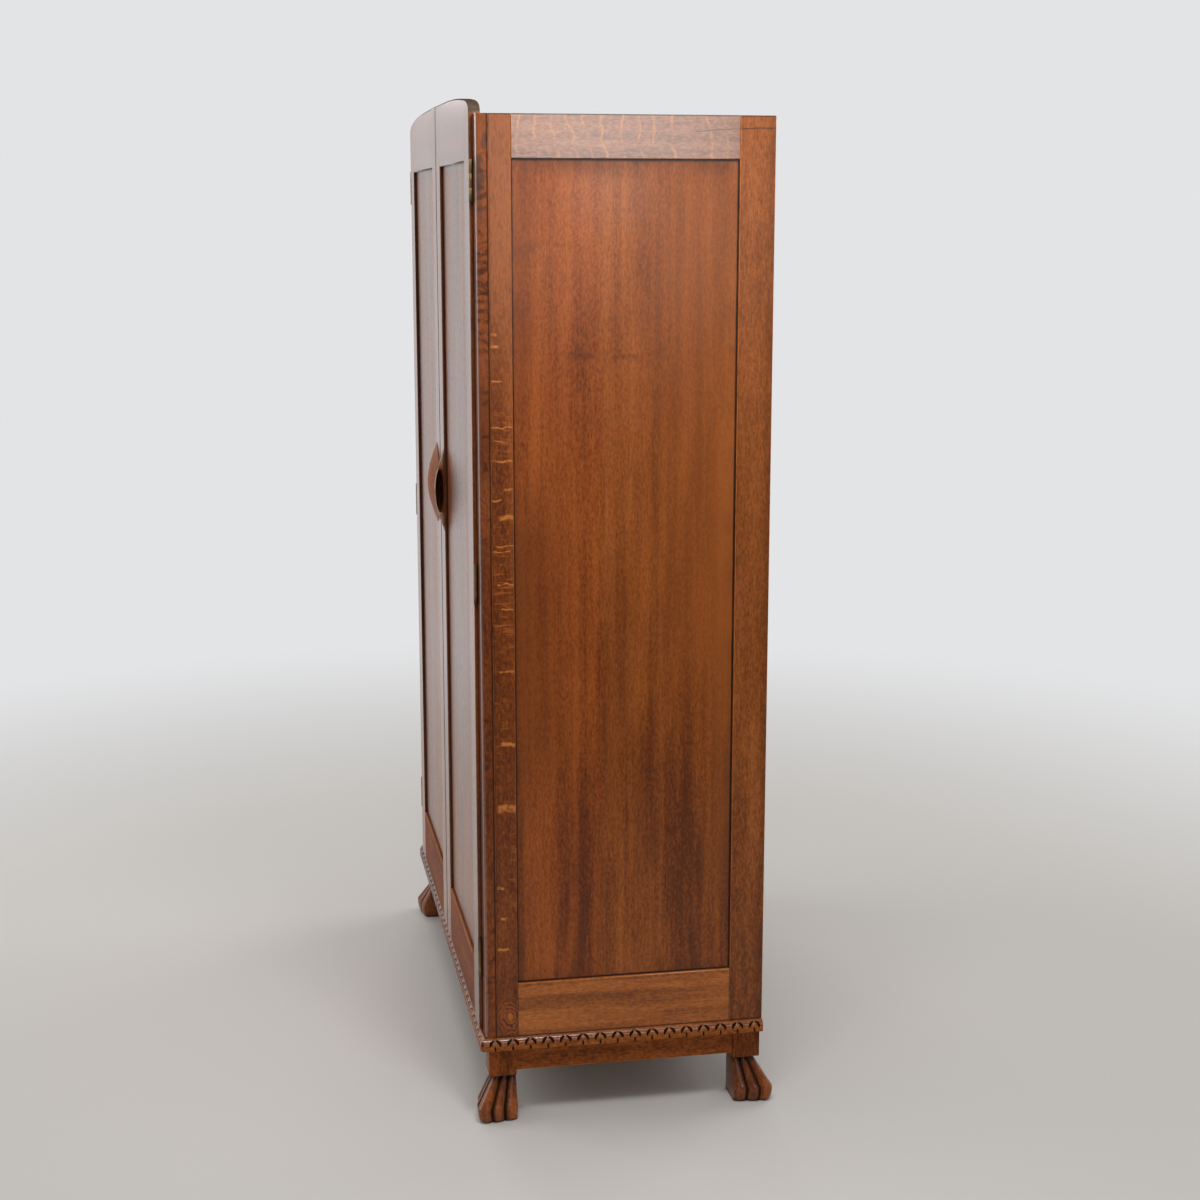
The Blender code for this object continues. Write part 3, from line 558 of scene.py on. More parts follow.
@painted
def veneer(f, colour, joint):
    """The two leaves of a side panel's veneer: cross marks, a swirl near the top, dark feathers below, a
    painted sheen near the top and painted shade along the top edge.
    """
    wander = f.plus(f.times(f.minus(f.noise((1, 1, 9), 2.0, 2.0), 0.5), 0.012), joint)
    front = f.span(f.minus(f.y, wander), 0.004, -0.004)
    colour = f.mix(f.times(front, 0.5), colour, (1.0, 0.80, 0.62), "MULTIPLY")
    slope = f.plus(f.times(f.y, -560.0), f.times(f.z, 820.0))
    hairs = f.sum("SINE", f.plus(slope, f.times(f.noise((1, 34, 22), 4.0, 9.0), 26.0)))
    patchy = f.span(f.noise((1, 40, 25), 2.0, 4.8), 0.35, 0.6)
    about = f.times(f.within(f.y, joint - 0.052, joint - 0.004, 0.014), f.within(f.z, 1.53, 1.675, 0.025))
    swirl = f.times(f.span(hairs, 0.2, 0.95), patchy, about)
    cross = f.span(f.noise((1, 20, 46), 3.0, 5.5, 0.5), 0.46, 0.66)
    bands = f.plus(f.span(f.far(f.z, 1.376), 0.016, 0.003), f.span(f.far(f.z, 1.552), 0.013, 0.003))
    gold = f.times(f.span(f.y, joint - 0.01, joint + 0.17), f.within(f.z, 0.78, 1.75, 0.2))
    bright = f.times(f.span(f.y, joint + 0.17, joint + 0.23), f.within(f.z, 0.44, 1.2, 0.12))
    dusk = f.times(f.span(f.y, joint - 0.02, joint - 0.13), f.within(f.z, 0.62, 1.14, 0.11))
    shadow = f.times(f.within(f.y, joint + 0.004, joint + 0.058, 0.02), f.within(f.z, 0.68, 1.02, 0.09))
    # A pale greyish patch high on the panel: a painted sheen.
    painted_sheen = f.times(f.within(f.y, joint - 0.05, joint + 0.08, 0.05), f.within(f.z, 1.60, 1.72, 0.06))
    ember = f.times(f.span(f.y, joint - 0.10, joint - 0.14), f.within(f.z, 1.30, 1.66, 0.08))
    # A darker band along the panel's top edge, beneath the rail: painted shade.
    crown = f.times(f.span(f.z, 1.655, 1.700), f.span(f.noise((1, 18, 30), 3.0, 7.2), 0.3, 0.6))
    feather = f.times(f.span(f.figure(24.0, 2.6, 3.0, 17.0, 0.5), 0.5, 0.66), f.span(f.z, 0.8, 0.4))
    layers = ((swirl, 0.34, toned(f.pale, 1.3)), (f.times(cross, bands), 0.42, toned(f.deep, 0.6)),
              (gold, 0.42, toned(f.pale, 1.02)), (bright, 0.5, f.pale),
              (f.plus(f.times(dusk, 0.48), f.times(shadow, 0.3)), 1.0, f.deep),
              (painted_sheen, 0.055, (0.55, 0.50, 0.46)), (ember, 0.45, toned(f.middle, 1.12)),
              (crown, 0.4, toned(f.deep, 0.8)), (feather, 0.45, toned(f.deep, 0.6)))
    for area, strength, tint in layers:
        colour = f.mix(f.times(area, strength), colour, tint)
    return colour


@painted
def edge_grime_and_shade(f, colour, level):
    """A dark line round the edges of a door, where it stands level with the face of the case: grime and
    painted shade.
    """
    return f.mix(f.times(f.within(f.y, level - 0.0014, level + 0.0006, 0.0010), 0.7), colour, DIRT_AND_SHADE)


def metal(name, colour, tarnish, roughness):
    """Dull metal with darker tarnish in patches."""
    f = Finish(name)
    patches = f.span(f.noise((28, 28, 28), 3.0), 0.35, 0.75)
    scratches = f.noise((900, 900, 60), 2.0, 4.0)
    f.set(Base_Color=f.mix(patches, colour, tarnish), Metallic=1.0)
    f.set(Roughness=f.plus(roughness, f.times(patches, 0.2)))
    f.bump(scratches, 0.0001, 0.3)
    return f.material


def board(name, grain, shades, seed, sheen=0.25):
    """Plain unpolished wood inside, behind and on top."""
    f = Wood(name, grain, shades, seed)
    patches, rings, fibres = f.layers(BOARD_FIGURE)
    tone = f.plus(f.times(patches, 0.4), f.times(rings, 0.4), f.times(fibres, 0.2))
    colour = f.ramp(tone, ((0.1, f.deep), (0.5, f.middle), (0.9, f.pale)))
    f.set(Base_Color=colour, Roughness=f.plus(0.6, f.times(fibres, 0.15)), Specular_IOR_Level=sheen)
    f.bump(fibres, 0.0004, 0.4)
    return f.material


def body_of(bm, name, material):
    """Turn a bmesh into an object."""
    mesh = bpy.data.meshes.new(name)
    bm.to_mesh(mesh)
    bm.free()
    if material:
        mesh.materials.append(material)
    made = bpy.data.objects.new(name, mesh)
    bpy.context.scene.collection.objects.link(made)
    return made


def dress(made, *nodes):
    """Let a finished piece stand for its plain nodes and move with them."""
    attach(made, BODY_OF[nodes[0]])
    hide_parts(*nodes)
    return made


def smooth(made, below=SMOOTH_BELOW):
    """Shade a body smoothly, apart from edges sharper than an angle."""
    made.data.shade_smooth()
    made.data.set_sharp_from_angle(angle=below)
    return made


def store(mesh, name, values):
    """Store one value for each vertex in a mesh."""
    mesh.attributes.new(name, "FLOAT", "POINT").data.foreach_set("value", values)


def node_bmesh(node):
    """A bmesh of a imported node, with its flat faces whole again."""
    bm = bmesh.new()
    bm.from_mesh(frame["nodes"][node].data)
    bmesh.ops.remove_doubles(bm, verts=bm.verts, dist=MERGE)
    bmesh.ops.dissolve_limit(bm, angle_limit=FLAT, verts=bm.verts, edges=bm.edges)
    return bm


def ease_edges(bm, edges, width):
    """Round edges over in small steps and give the new faces."""
    return bmesh.ops.bevel(bm, geom=edges, offset=width, offset_type="OFFSET", segments=ARRIS_STEPS,
                           profile=0.5, affect="EDGES", clamp_overlap=True)["faces"]


def touches(place, nodes):
    """Whether a place lies in or against one of these nodes."""
    for low, high in map(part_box, nodes):
        if all(low[i] - TOUCH < place[i] < high[i] + TOUCH for i in range(3)):
            return True
    return False


def soften(node, axis, width, material, rub=1.0, tops=None, mates=()):
    """A copy of a board with the arrises of its two broad faces softened and rubbed.

    The edge at which the doors meet is rounder and darkened with dirt and painted shade, joints with a mate
    stay flush, and the faces that look up can have a finish of their own.
    """
    bm = node_bmesh(node)
    wear_and_highlight = bm.faces.layers.float.new("wear_and_highlight")
    soil_and_shade = bm.faces.layers.float.new("soil_and_shade")
    place = AXES[axis]
    low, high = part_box(node)
    planes = (low[place], high[place])
    for level in [corner.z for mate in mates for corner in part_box(mate)]:
        if low.z + CLEAR < level < high.z - CLEAR:
            bmesh.ops.bisect_plane(bm, geom=bm.verts[:] + bm.edges[:] + bm.faces[:], dist=MERGE,
                                   plane_co=(0, 0, level), plane_no=(0, 0, 1))

    def chosen(edge, reach):
        if not edge.is_manifold or not edge.is_convex or edge.calc_face_angle() < SHARP:
            return False
        if touches((edge.verts[0].co + edge.verts[1].co) / 2, mates):
            return False
        return all(abs(vertex.co.x) < reach and min(abs(vertex.co[place] - plane) for plane in planes) < NEAR
                   for vertex in edge.verts)

    # The doors' meeting edges are rounder and darkened: dirt and painted shade in the gap.
    passes = ((MEETING_REACH, MEETING_ARRIS, 0.0, MEETING_SOIL_AND_SHADE), (inf, width, rub, 0.0))
    for reach, size, rubbed, soiled_and_shaded in passes:
        for face in ease_edges(bm, [edge for edge in bm.edges if chosen(edge, reach)], size):
            face[wear_and_highlight] = rubbed
            face[soil_and_shade] = soiled_and_shaded
            face.smooth = True
    bm.normal_update()
    if tops:
        for face in bm.faces:
            edge_on = face.calc_center_median().z > CASE_TOP and abs(face.normal.y) < EDGE_ON
            face.material_index = 1 if edge_on or face.normal.z > UPWARD else 0
    made = body_of(bm, node + "_look", material)
    if tops:
        made.data.materials.append(tops)
    return dress(made, node)


def rounded(node, width, material):
    """A copy of a metal piece with crisp but softened edges and smooth round faces."""
    bm = node_bmesh(node)
    outward = [edge for edge in bm.edges if edge.is_manifold and edge.is_convex]
    ease_edges(bm, [edge for edge in outward if edge.calc_face_angle() > SHARP], width)
    return dress(smooth(body_of(bm, node + "_look", material)), node)


def circle(radius, sides):
    """Points round a circle."""
    angles = [2 * pi * side / sides for side in range(sides)]
    return [(radius * cos(angle), radius * sin(angle)) for angle in angles]


def loft(rings, bm=None):
    """A closed body through rings of points, in a bmesh of its own or added to one."""
    bm = bmesh.new() if bm is None else bm
    rows = [[bm.verts.new(point) for point in ring] for ring in rings]
    for near, far in zip(rows, rows[1:]):
        for i in range(len(near)):
            j = (i + 1) % len(near)
            bm.faces.new((near[i], near[j], far[j], far[i]))
    bm.faces.new(rows[0])
    bm.faces.new(rows[-1])
    bmesh.ops.recalc_face_normals(bm, faces=bm.faces)
    return bm


def combine(body, tool, operation):
    """Join a tool to a body or cut it away."""
    step = body.modifiers.new("combine", "BOOLEAN")
    step.operation = operation
    step.object = tool
    bpy.context.view_layer.update()
    result = bpy.data.meshes.new_from_object(body.evaluated_get(bpy.context.evaluated_depsgraph_get()))
    body.modifiers.clear()
    body.data = result
    bpy.data.objects.remove(tool, do_unlink=True)


def foot_outline(size):
    """Section of a foot from its inner corner: two reeds on each outer side and one round the corner."""
    half = []
    for start, end in zip(REED_BREAKS, REED_BREAKS[1:]):
        middle = size * (start + end) / 2
        run = size * (end - start) / 2
        for step in range(REED_STEPS):
            angle = pi * step / REED_STEPS
            rise = REED_DEPTH * sin(angle) ** REED_FULLNESS
            half.append((size - REED_DEPTH + rise, middle - run * cos(angle)))
    knee = size * REED_BREAKS[-1]
    run = size * (REED_BREAKS[1] - REED_BREAKS[0]) / 2
    half.append((size - REED_DEPTH, knee))
    for step in range(1, CORNER_STEPS + 1):
        angle = pi / 4 * (1 - cos(pi / 2 * step / CORNER_STEPS))
        swell = (cos(angle) ** CORNER_POWER + sin(angle) ** CORNER_POWER) ** (-1 / CORNER_POWER)
        reach = (size - knee) * swell
        across = knee + reach * sin(angle)
        risen = sin(pi / 2 * min(1.0, (across - knee) / run)) ** REED_FULLNESS
        half.append((knee + reach * cos(angle) - REED_DEPTH * (1 - risen), across))
    mirrored = [(v, u) for u, v in reversed(half[:-1])]
    neck = BLOCK_SIZE - NECK_INSET
    fan = FAN_TAPER * max(0.0, size - neck) / (BLOCK_SIZE + FLARE_REACH - neck) / size
    fanned = []
    for u, v in [(0.0, 0.0)] + half + mirrored:
        fanned.append((u * (1 - fan * max(0.0, 1 - v / knee)), v * (1 - fan * max(0.0, 1 - u / knee))))
    return fanned


def foot_levels():
    """Height and size of each section of a foot, from the sole to its neck."""
    levels = []
    for step in range(TOE_STEPS + 1):
        angle = pi / 2 * step / TOE_STEPS
        reach = SOLE_REACH + (FLARE_REACH - SOLE_REACH) * sin(angle) ** (2 / TOE_POWER)
        levels.append((FLARE_HEIGHT * (1 - cos(angle) ** (2 / TOE_POWER)), BLOCK_SIZE + reach))
    top = (FOOT_HEIGHT - REED_DEPTH, BLOCK_SIZE - NECK_INSET + REED_DEPTH / 2)
    for step in range(1, SHAFT_STEPS + 1):
        share = step / SHAFT_STEPS
        levels.append((FLARE_HEIGHT + (top[0] - FLARE_HEIGHT) * share,
                       BLOCK_SIZE + FLARE_REACH + (top[1] - BLOCK_SIZE - FLARE_REACH) * share))
    levels.append((FOOT_HEIGHT + REED_DEPTH, BLOCK_SIZE - NECK_INSET))
    return levels


def build_foot(node, material):
    """A square block on a reeded foot that flares on its two outer sides."""
    low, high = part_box(node)
    sign_x = 1 if high.x > 0 else -1
    sign_y = 1 if high.y > 0 else -1
    inner_x = min(abs(low.x), abs(high.x))
    inner_y = min((low.y, high.y), key=abs)
    rings = []
    for height, size in foot_levels():
        outline = foot_outline(size)
        rings.append([(sign_x * (inner_x + u), inner_y + sign_y * v, height) for u, v in outline])
    foot = body_of(loft(rings), node + "_reeds", material)
    foot.data.shade_smooth()
    outline = [(inner_x + i * BLOCK_SIZE, j * BLOCK_SIZE) for i, j in ((0, 0), (1, 0), (1, 1), (0, 1))]
    bm = loft([[(sign_x * x, inner_y + sign_y * y, z) for x, y in outline] for z in (FOOT_HEIGHT, high.z)])
    ease_edges(bm, bm.edges[:], BLOCK_ARRIS)
    block = body_of(bm, node + "_look", material)
    combine(block, foot, "UNION")
    block.data.set_sharp_from_angle(angle=SMOOTH_BELOW)
    store(block.data, "soil_and_shade", [foot_soil_and_shade(sign_x * x - inner_x, sign_y * (y - inner_y), z)
                               for x, y, z in (vertex.co for vertex in block.data.vertices)])
    return dress(block, node)


def foot_soil_and_shade(u, v, height):
    """Dark polish and painted shade in the grooves of a foot, under its block and along its sole."""
    if height > FOOT_HEIGHT + NEAR:
        return 0.0
    share = min(u, v) / max(u, v, NEAR)
    away = min(abs(share - part) for part in REED_BREAKS[1:])
    groove = sum(strength * exp(-(away / reach) ** 2) for reach, strength in GROOVE_SOIL_AND_SHADE)
    neck = max(0.0, 1 - (FOOT_HEIGHT - height) / NECK_SOIL_AND_SHADE)
    sole = max(0.0, 1 - height / SOLE_SOIL_AND_SHADE)
    return min(1.0, groove + neck + 0.9 * sole)


def moulding_rows():
    """Section of the base moulding from its lower back edge: how far out, how high, and its outward slope."""
    low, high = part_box("right_base_moulding")
    proud = high.x - low.x
    tall = high.z - low.z
    rows = [(0.0, 0.0, None)]
    for step in range(FACE_ROWS):
        rows.append((proud, MOULDING_FACE * step / FACE_ROWS, (1.0, 0.0)))
    for step in range(ROUND_ROWS + 1):
        angle = pi / 2 * step / ROUND_ROWS
        normal = Vector((cos(angle) / proud, sin(angle) / (tall - MOULDING_FACE))).normalized()
        rows.append((proud * cos(angle), MOULDING_FACE + (tall - MOULDING_FACE) * sin(angle), tuple(normal)))
    return rows


def gouge(along, height):
    """Depth of the carving at a distance along from the middle of its motif, and at a height."""
    side = abs(along)
    top_x, top_z = GOUGE_TOP
    foot_x, foot_z = GOUGE_FOOT
    run_x, run_z = foot_x - top_x, foot_z - top_z
    length = hypot(run_x, run_z)
    share = ((side - top_x) * run_x + (height - top_z) * run_z) / length ** 2
    depth = 0.0
    if 0.0 < share < 1.0:
        offset = ((side - top_x) * run_z - (height - top_z) * run_x) / length
        offset += GOUGE_BOW * 4 * share * (1 - share)
        half = GOUGE_WIDTH * sin(pi * share ** 1.3) ** 0.6
        depth = GOUGE_DEPTH * max(0.0, 1 - (offset / half) ** 2) if half > 0 else 0.0
    if height < NOTCH_TOP:
        half = NOTCH_WIDTH * (0.55 + 0.45 * (1 - height / NOTCH_TOP))
        fade = min(1.0, (NOTCH_TOP - height) / 0.0015)
        depth = max(depth, NOTCH_DEPTH * fade * max(0.0, 1 - side / half))
    return depth


def carve(node, place, motifs, material):
    """Sweep the moulding's section along its length and press the carving into it."""
    rows = moulding_rows()
    start, end = place(0.0, 0.0, 0.0)[0], place(0.0, 0.0, 1.0)[0]
    length = abs(end - start)
    pitch = length / motifs
    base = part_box(node)[0].z
    rings, soil_and_shade = [], []
    count = ceil(length / CARVING_STEP)
    for step in range(count + 1):
        ring = []
        for out, height, normal in rows:
            along, make = place(out, height, step / count)
            depth = 0.0
            if normal:
                depth = gouge((abs(along - start) % pitch) - pitch / 2, height)
                out, height = out - depth * normal[0], height - depth * normal[1]
            ring.append(make(max(out, 0.0), base + height))
            # The gouges are darkened the deeper they go: dirt, and painted shade in the cuts.
            soil_and_shade.append(min(1.0, 2.0 * depth / GOUGE_DEPTH))
        rings.append(ring)
    made = smooth(body_of(loft(rings), node + "_look", material), CARVING_SHARP)
    store(made.data, "soil_and_shade", soil_and_shade)
    return dress(made, node)


def build_mouldings(material_side, material_front):
    """Carved moulding round the front and both sides, mitred and rounded at the front corners."""
    low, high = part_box("front_base_moulding")
    half, front, back = high.x, low.y, high.y
    proud = back - front

    def eased(x, y, z):
        """A place with the front corners rounded off."""
        u = MOULDING_CORNER - half + abs(x)
        v = MOULDING_CORNER - y + front
        if u <= 0 or v <= 0 or hypot(u, v) <= MOULDING_CORNER:
            return x, y, z
        back_in = 1 - MOULDING_CORNER / hypot(u, v)
        return x - u * back_in * (1 if x > 0 else -1), y + v * back_in, z

    def along_front(out, height, share):
        reach = half - proud + out
        x = -reach + 2 * reach * share
        return x, lambda outward, z: eased(x, back - outward, z)

    carve("front_base_moulding", along_front, FRONT_MOTIFS, material_front)
    for side, sign in SIDES:
        low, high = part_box(f"{side}_base_moulding")
        inner = min(abs(low.x), abs(high.x))

        def along_side(out, height, share):
            begin = low.y + proud - out
            y = begin + (high.y - begin) * share
            return y, lambda outward, z: eased(sign * (inner + outward), y, z)

        carve(f"{side}_base_moulding", along_side, SIDE_MOTIFS, material_side)


def build_pull(side, sign, material):
    """A pull that swells from the meeting edge to a rim over a finger hollow."""
    node = f"{side}_door_pull"
    low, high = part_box(node)
    rim = max(abs(low.x), abs(high.x))
    back, middle = high.y, (low.z + high.z) / 2
    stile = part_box(f"{side}_door_meeting_stile")
    stile_width = stile[1].x - stile[0].x

    def crest(along):
        """How thick the edge is and how far the pull swells beyond it, at a share of the way to an end."""
        edge = PULL_TIP_EDGE + (PULL_EDGE - PULL_TIP_EDGE) * min(1.0, 4 * (1 - abs(along)))
        return edge, (PULL_PROUD - PULL_EDGE) * abs(cos(pi / 2 * along)) ** PULL_SWELL_POWER

    rings = []
    for station in range(PULL_STATIONS + 1):
        along = sin(pi / 2 * (2 * station / PULL_STATIONS - 1))
        bell = abs(cos(pi / 2 * along))
        edge, swell = crest(along)
        width = PULL_TIP_WIDTH + (stile_width - PULL_MARGIN - PULL_TIP_WIDTH) * bell ** PULL_OUTLINE_POWER
        rounding = min(PULL_RIM, (edge + swell) / 3)
        ring = [(rim - width, back), (rim, back)]
        for step in range(RIM_STEPS):
            angle = pi / 2 * step / RIM_STEPS
            crown = back - edge - swell + rounding * (1 - sin(angle))
            ring.append((rim - rounding * (1 - cos(angle)), crown))
        for step in range(PULL_STEPS + 1):
            share = step / PULL_STEPS
            rise = edge + swell * (1 - share ** PULL_FALL)
            ring.append((rim - rounding - (width - rounding) * share, back - rise))
        z = middle + along * PULL_LENGTH / 2
        rings.append([(sign * x, y, z) for x, y in ring])
    pull = body_of(loft(rings), node + "_look", material)
    bm = bmesh.new()
    bmesh.ops.create_uvsphere(bm, u_segments=HOLLOW_SIDES, v_segments=HOLLOW_RINGS, radius=1.0)
    bmesh.ops.scale(bm, verts=bm.verts, vec=PULL_HOLLOW)
    centre = Vector((sign * rim, back - PULL_FLOOR - PULL_HOLLOW[1], middle))
    bmesh.ops.translate(bm, verts=bm.verts, vec=centre)
    combine(pull, body_of(bm, "hollow", material), "DIFFERENCE")
    smooth(pull)
    soil_and_shade, wear_and_highlight = [], []
    for vertex in pull.data.vertices:
        inside = sum(((vertex.co[i] - centre[i]) / PULL_HOLLOW[i]) ** 2 for i in range(3)) < 1.02
        deep = min(1.0, (rim - abs(vertex.co.x)) / 0.012)
        edge, swell = crest(min(1.0, abs(vertex.co.z - middle) / (PULL_LENGTH / 2)))
        on_rim = rim - abs(vertex.co.x) < PULL_WEAR_AND_HIGHLIGHT and back - vertex.co.y > edge + swell - PULL_WEAR_AND_HIGHLIGHT
        # The finger hollow darkens, more so deeper in: painted shade with dirt; the rim takes the pale worn
        # colour, wear with a painted highlight.
        soil_and_shade.append(0.5 + 0.4 * deep if inside and not on_rim else 0.0)
        wear_and_highlight.append(1.0 if on_rim else 0.0)
    store(pull.data, "soil_and_shade", soil_and_shade)
    store(pull.data, "wear_and_highlight", wear_and_highlight)
    return dress(pull, node)


def screw_head():
    """A slotted screw head that faces +X, with its slot on edge."""
    levels = ((-SCREW_SUNK, SCREW_RADIUS), (0.0, SCREW_RADIUS), (0.6 * SCREW_PROUD, 0.9 * SCREW_RADIUS),
              (SCREW_PROUD, 0.55 * SCREW_RADIUS))
    rings = [[(out, u, v) for u, v in circle(radius, SCREW_SIDES)] for out, radius in levels]
    head = body_of(loft(rings), "screw_head", None)
    bm = bmesh.new()
    bmesh.ops.create_cube(bm, size=1.0)
    width, depth = SCREW_SLOT
    bmesh.ops.scale(bm, verts=bm.verts, vec=(2 * depth, width, 3 * SCREW_RADIUS))
    bmesh.ops.translate(bm, verts=bm.verts, vec=(SCREW_PROUD, 0.0, 0.0))
    combine(head, body_of(bm, "slot", None), "DIFFERENCE")
    mesh = head.data
    bpy.data.objects.remove(head, do_unlink=True)
    return mesh


def build_leaf(side, sign, level, leaf, screw, material):
    """A hinge leaf with softened edges and three screws in the face that shows when its door is open."""
    node = f"{side}_{level}_hinge_{leaf}"
    made = rounded(node, METAL_ARRIS / 2, material)
    on_door = leaf == "door_leaf"
    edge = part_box(f"{side}_door_hinge_stile" if on_door else f"{side}_face_strip")
    facing = sign if on_door else -sign
    face = (max if on_door else min)(abs(corner.x) for corner in edge)
    low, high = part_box(node)
    strip_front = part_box(f"{side}_face_strip")[0].y
    middle = Vector((sign * face, (strip_front + high.y) / 2, (low.z + high.z) / 2))
    bm = bmesh.new()
    bm.from_mesh(made.data)
    for step, turn in enumerate(SCREW_TURNS, -1):
        spot = Matrix.Translation(middle + Vector((0, 0, step * SCREW_SPREAD)))
        around = Matrix.Rotation(0.0 if facing > 0 else pi, 4, "Z") @ Matrix.Rotation(turn, 4, "X")
        known = set(bm.verts)
        bm.from_mesh(screw)
        bmesh.ops.transform(bm, matrix=spot @ around, verts=[vert for vert in bm.verts if vert not in known])
    bm.to_mesh(made.data)
    bm.free()
    return made


def evenly(start, end):
    """Places of the pins along a stretch."""
    count = ceil((end - start) / PIN_SPACING)
    return [start + (end - start) * step / count for step in range(count + 1)]


def build_pins(material):
    """Flat pin heads round the edge of the back."""
    low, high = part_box("back_panel")
    row = evenly(low.x + PIN_INSET, high.x - PIN_INSET)
    column = evenly(low.z + PIN_INSET, high.z - PIN_INSET)
    places = [(x, z) for x in row for z in (column[0], column[-1])]
    places += [(x, z) for z in column[1:-1] for x in (row[0], row[-1])]
    levels = ((-PIN_PROUD, PIN_RADIUS), (0.5 * PIN_PROUD, PIN_RADIUS), (PIN_PROUD, 0.7 * PIN_RADIUS))
    bm = bmesh.new()
    for x, z in places:
        loft([[(x + u, high.y + out, z + v) for u, v in circle(radius, PIN_SIDES)]
              for out, radius in levels], bm)
    pins = body_of(bm, "back_panel_pins", material)
    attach(pins, BODY_OF["back_panel"])


def build_floor():
    """Pale floor that fades into the backdrop."""
    bm = bmesh.new()
    bmesh.ops.create_circle(bm, cap_ends=True, segments=FLOOR_SIDES, radius=FLOOR_REACH)
    f = Finish("stage_floor")
    f.set(Base_Color=(*FLOOR_COLOUR, 1.0), Roughness=0.7)
    reach = f.sum("SQRT", f.plus(f.times(f.x, f.x), f.times(f.y, f.y)))
    path = f.add("LightPath").outputs
    behind = f.blend(f.x, *FLOOR_BEHIND, 1.0, ROOM_BEHIND)
    strength = f.sum("MAXIMUM", path["Is Camera Ray"], f.times(path["Is Glossy Ray"], behind))
    glow = f.add("Emission", None, {"Color": (*BACKDROP, 1.0), "Strength": strength}).outputs[0]
    faded = f.add("MixShader", None, {0: f.span(reach, *FLOOR_FADE), 1: f.shader.outputs[0], 2: glow})
    f.feed(f.tree.nodes["Material Output"].inputs["Surface"], faded.outputs[0])
    body_of(bm, "stage_floor", f.material)


def hang(thing, place, direction):
    """Put a lamp or the camera in its place, looking along a direction."""
    thing.location = place
    thing.rotation_euler = Vector(direction).to_track_quat("-Z", "Y").to_euler()
    bpy.context.scene.collection.objects.link(thing)


def build_light():
    """A soft room, darker behind the camera in reflections, and the lamps."""
    world = bpy.data.worlds.new("studio")
    world.use_nodes = True
    bpy.context.scene.world = world
    sky = Nodes(world.node_tree)
    path = sky.add("LightPath").outputs
    way = sky.add("SeparateXYZ", None, {0: sky.add("TexCoord").outputs["Generated"]}).outputs
    room = sky.blend(way["X"], *SKY_BEHIND, 1.0, ROOM_BEHIND)
    seen = sky.blend(path["Is Camera Ray"], 0.0, 1.0, FILL_LIGHT, 1.0)
    background = sky.tree.nodes["Background"].inputs
    sky.feed(background["Color"], (*BACKDROP, 1.0))
    sky.feed(background["Strength"], sky.blend(path["Is Glossy Ray"], 0.0, 1.0, seen, room))
    for name, place, aim, size, power in LAMPS:
        light = bpy.data.lights.new(name, "AREA")
        light.shape = "RECTANGLE"
        light.size, light.size_y = size
        light.energy = power
        lamp = bpy.data.objects.new(name, light)
        lamp.visible_camera = False
        hang(lamp, place, Vector(aim) - Vector(place))


def build_camera():
    """Camera at the photograph's angle."""
    view = bpy.data.cameras.new("camera")
    view.lens = CAMERA_LENS
    view.sensor_width = SENSOR
    camera = bpy.data.objects.new("camera", view)
    hang(camera, CAMERA_PLACE, CAMERA_DIRECTION)
    bpy.context.scene.camera = camera
    bpy.context.scene.view_settings.view_transform = "Standard"


def visible_panel(name, uprights, axis):
    """Limits of the part of a panel that shows inside its frame."""
    place = AXES[axis]
    left, right = (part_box(f"{name}_{upright}") for upright in uprights)
    low, high = (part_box(f"{name}_{rail}") for rail in ("bottom_rail", "top_rail"))
    return axis, (left[1][place], right[0][place]), (low[1].z, high[0].z)


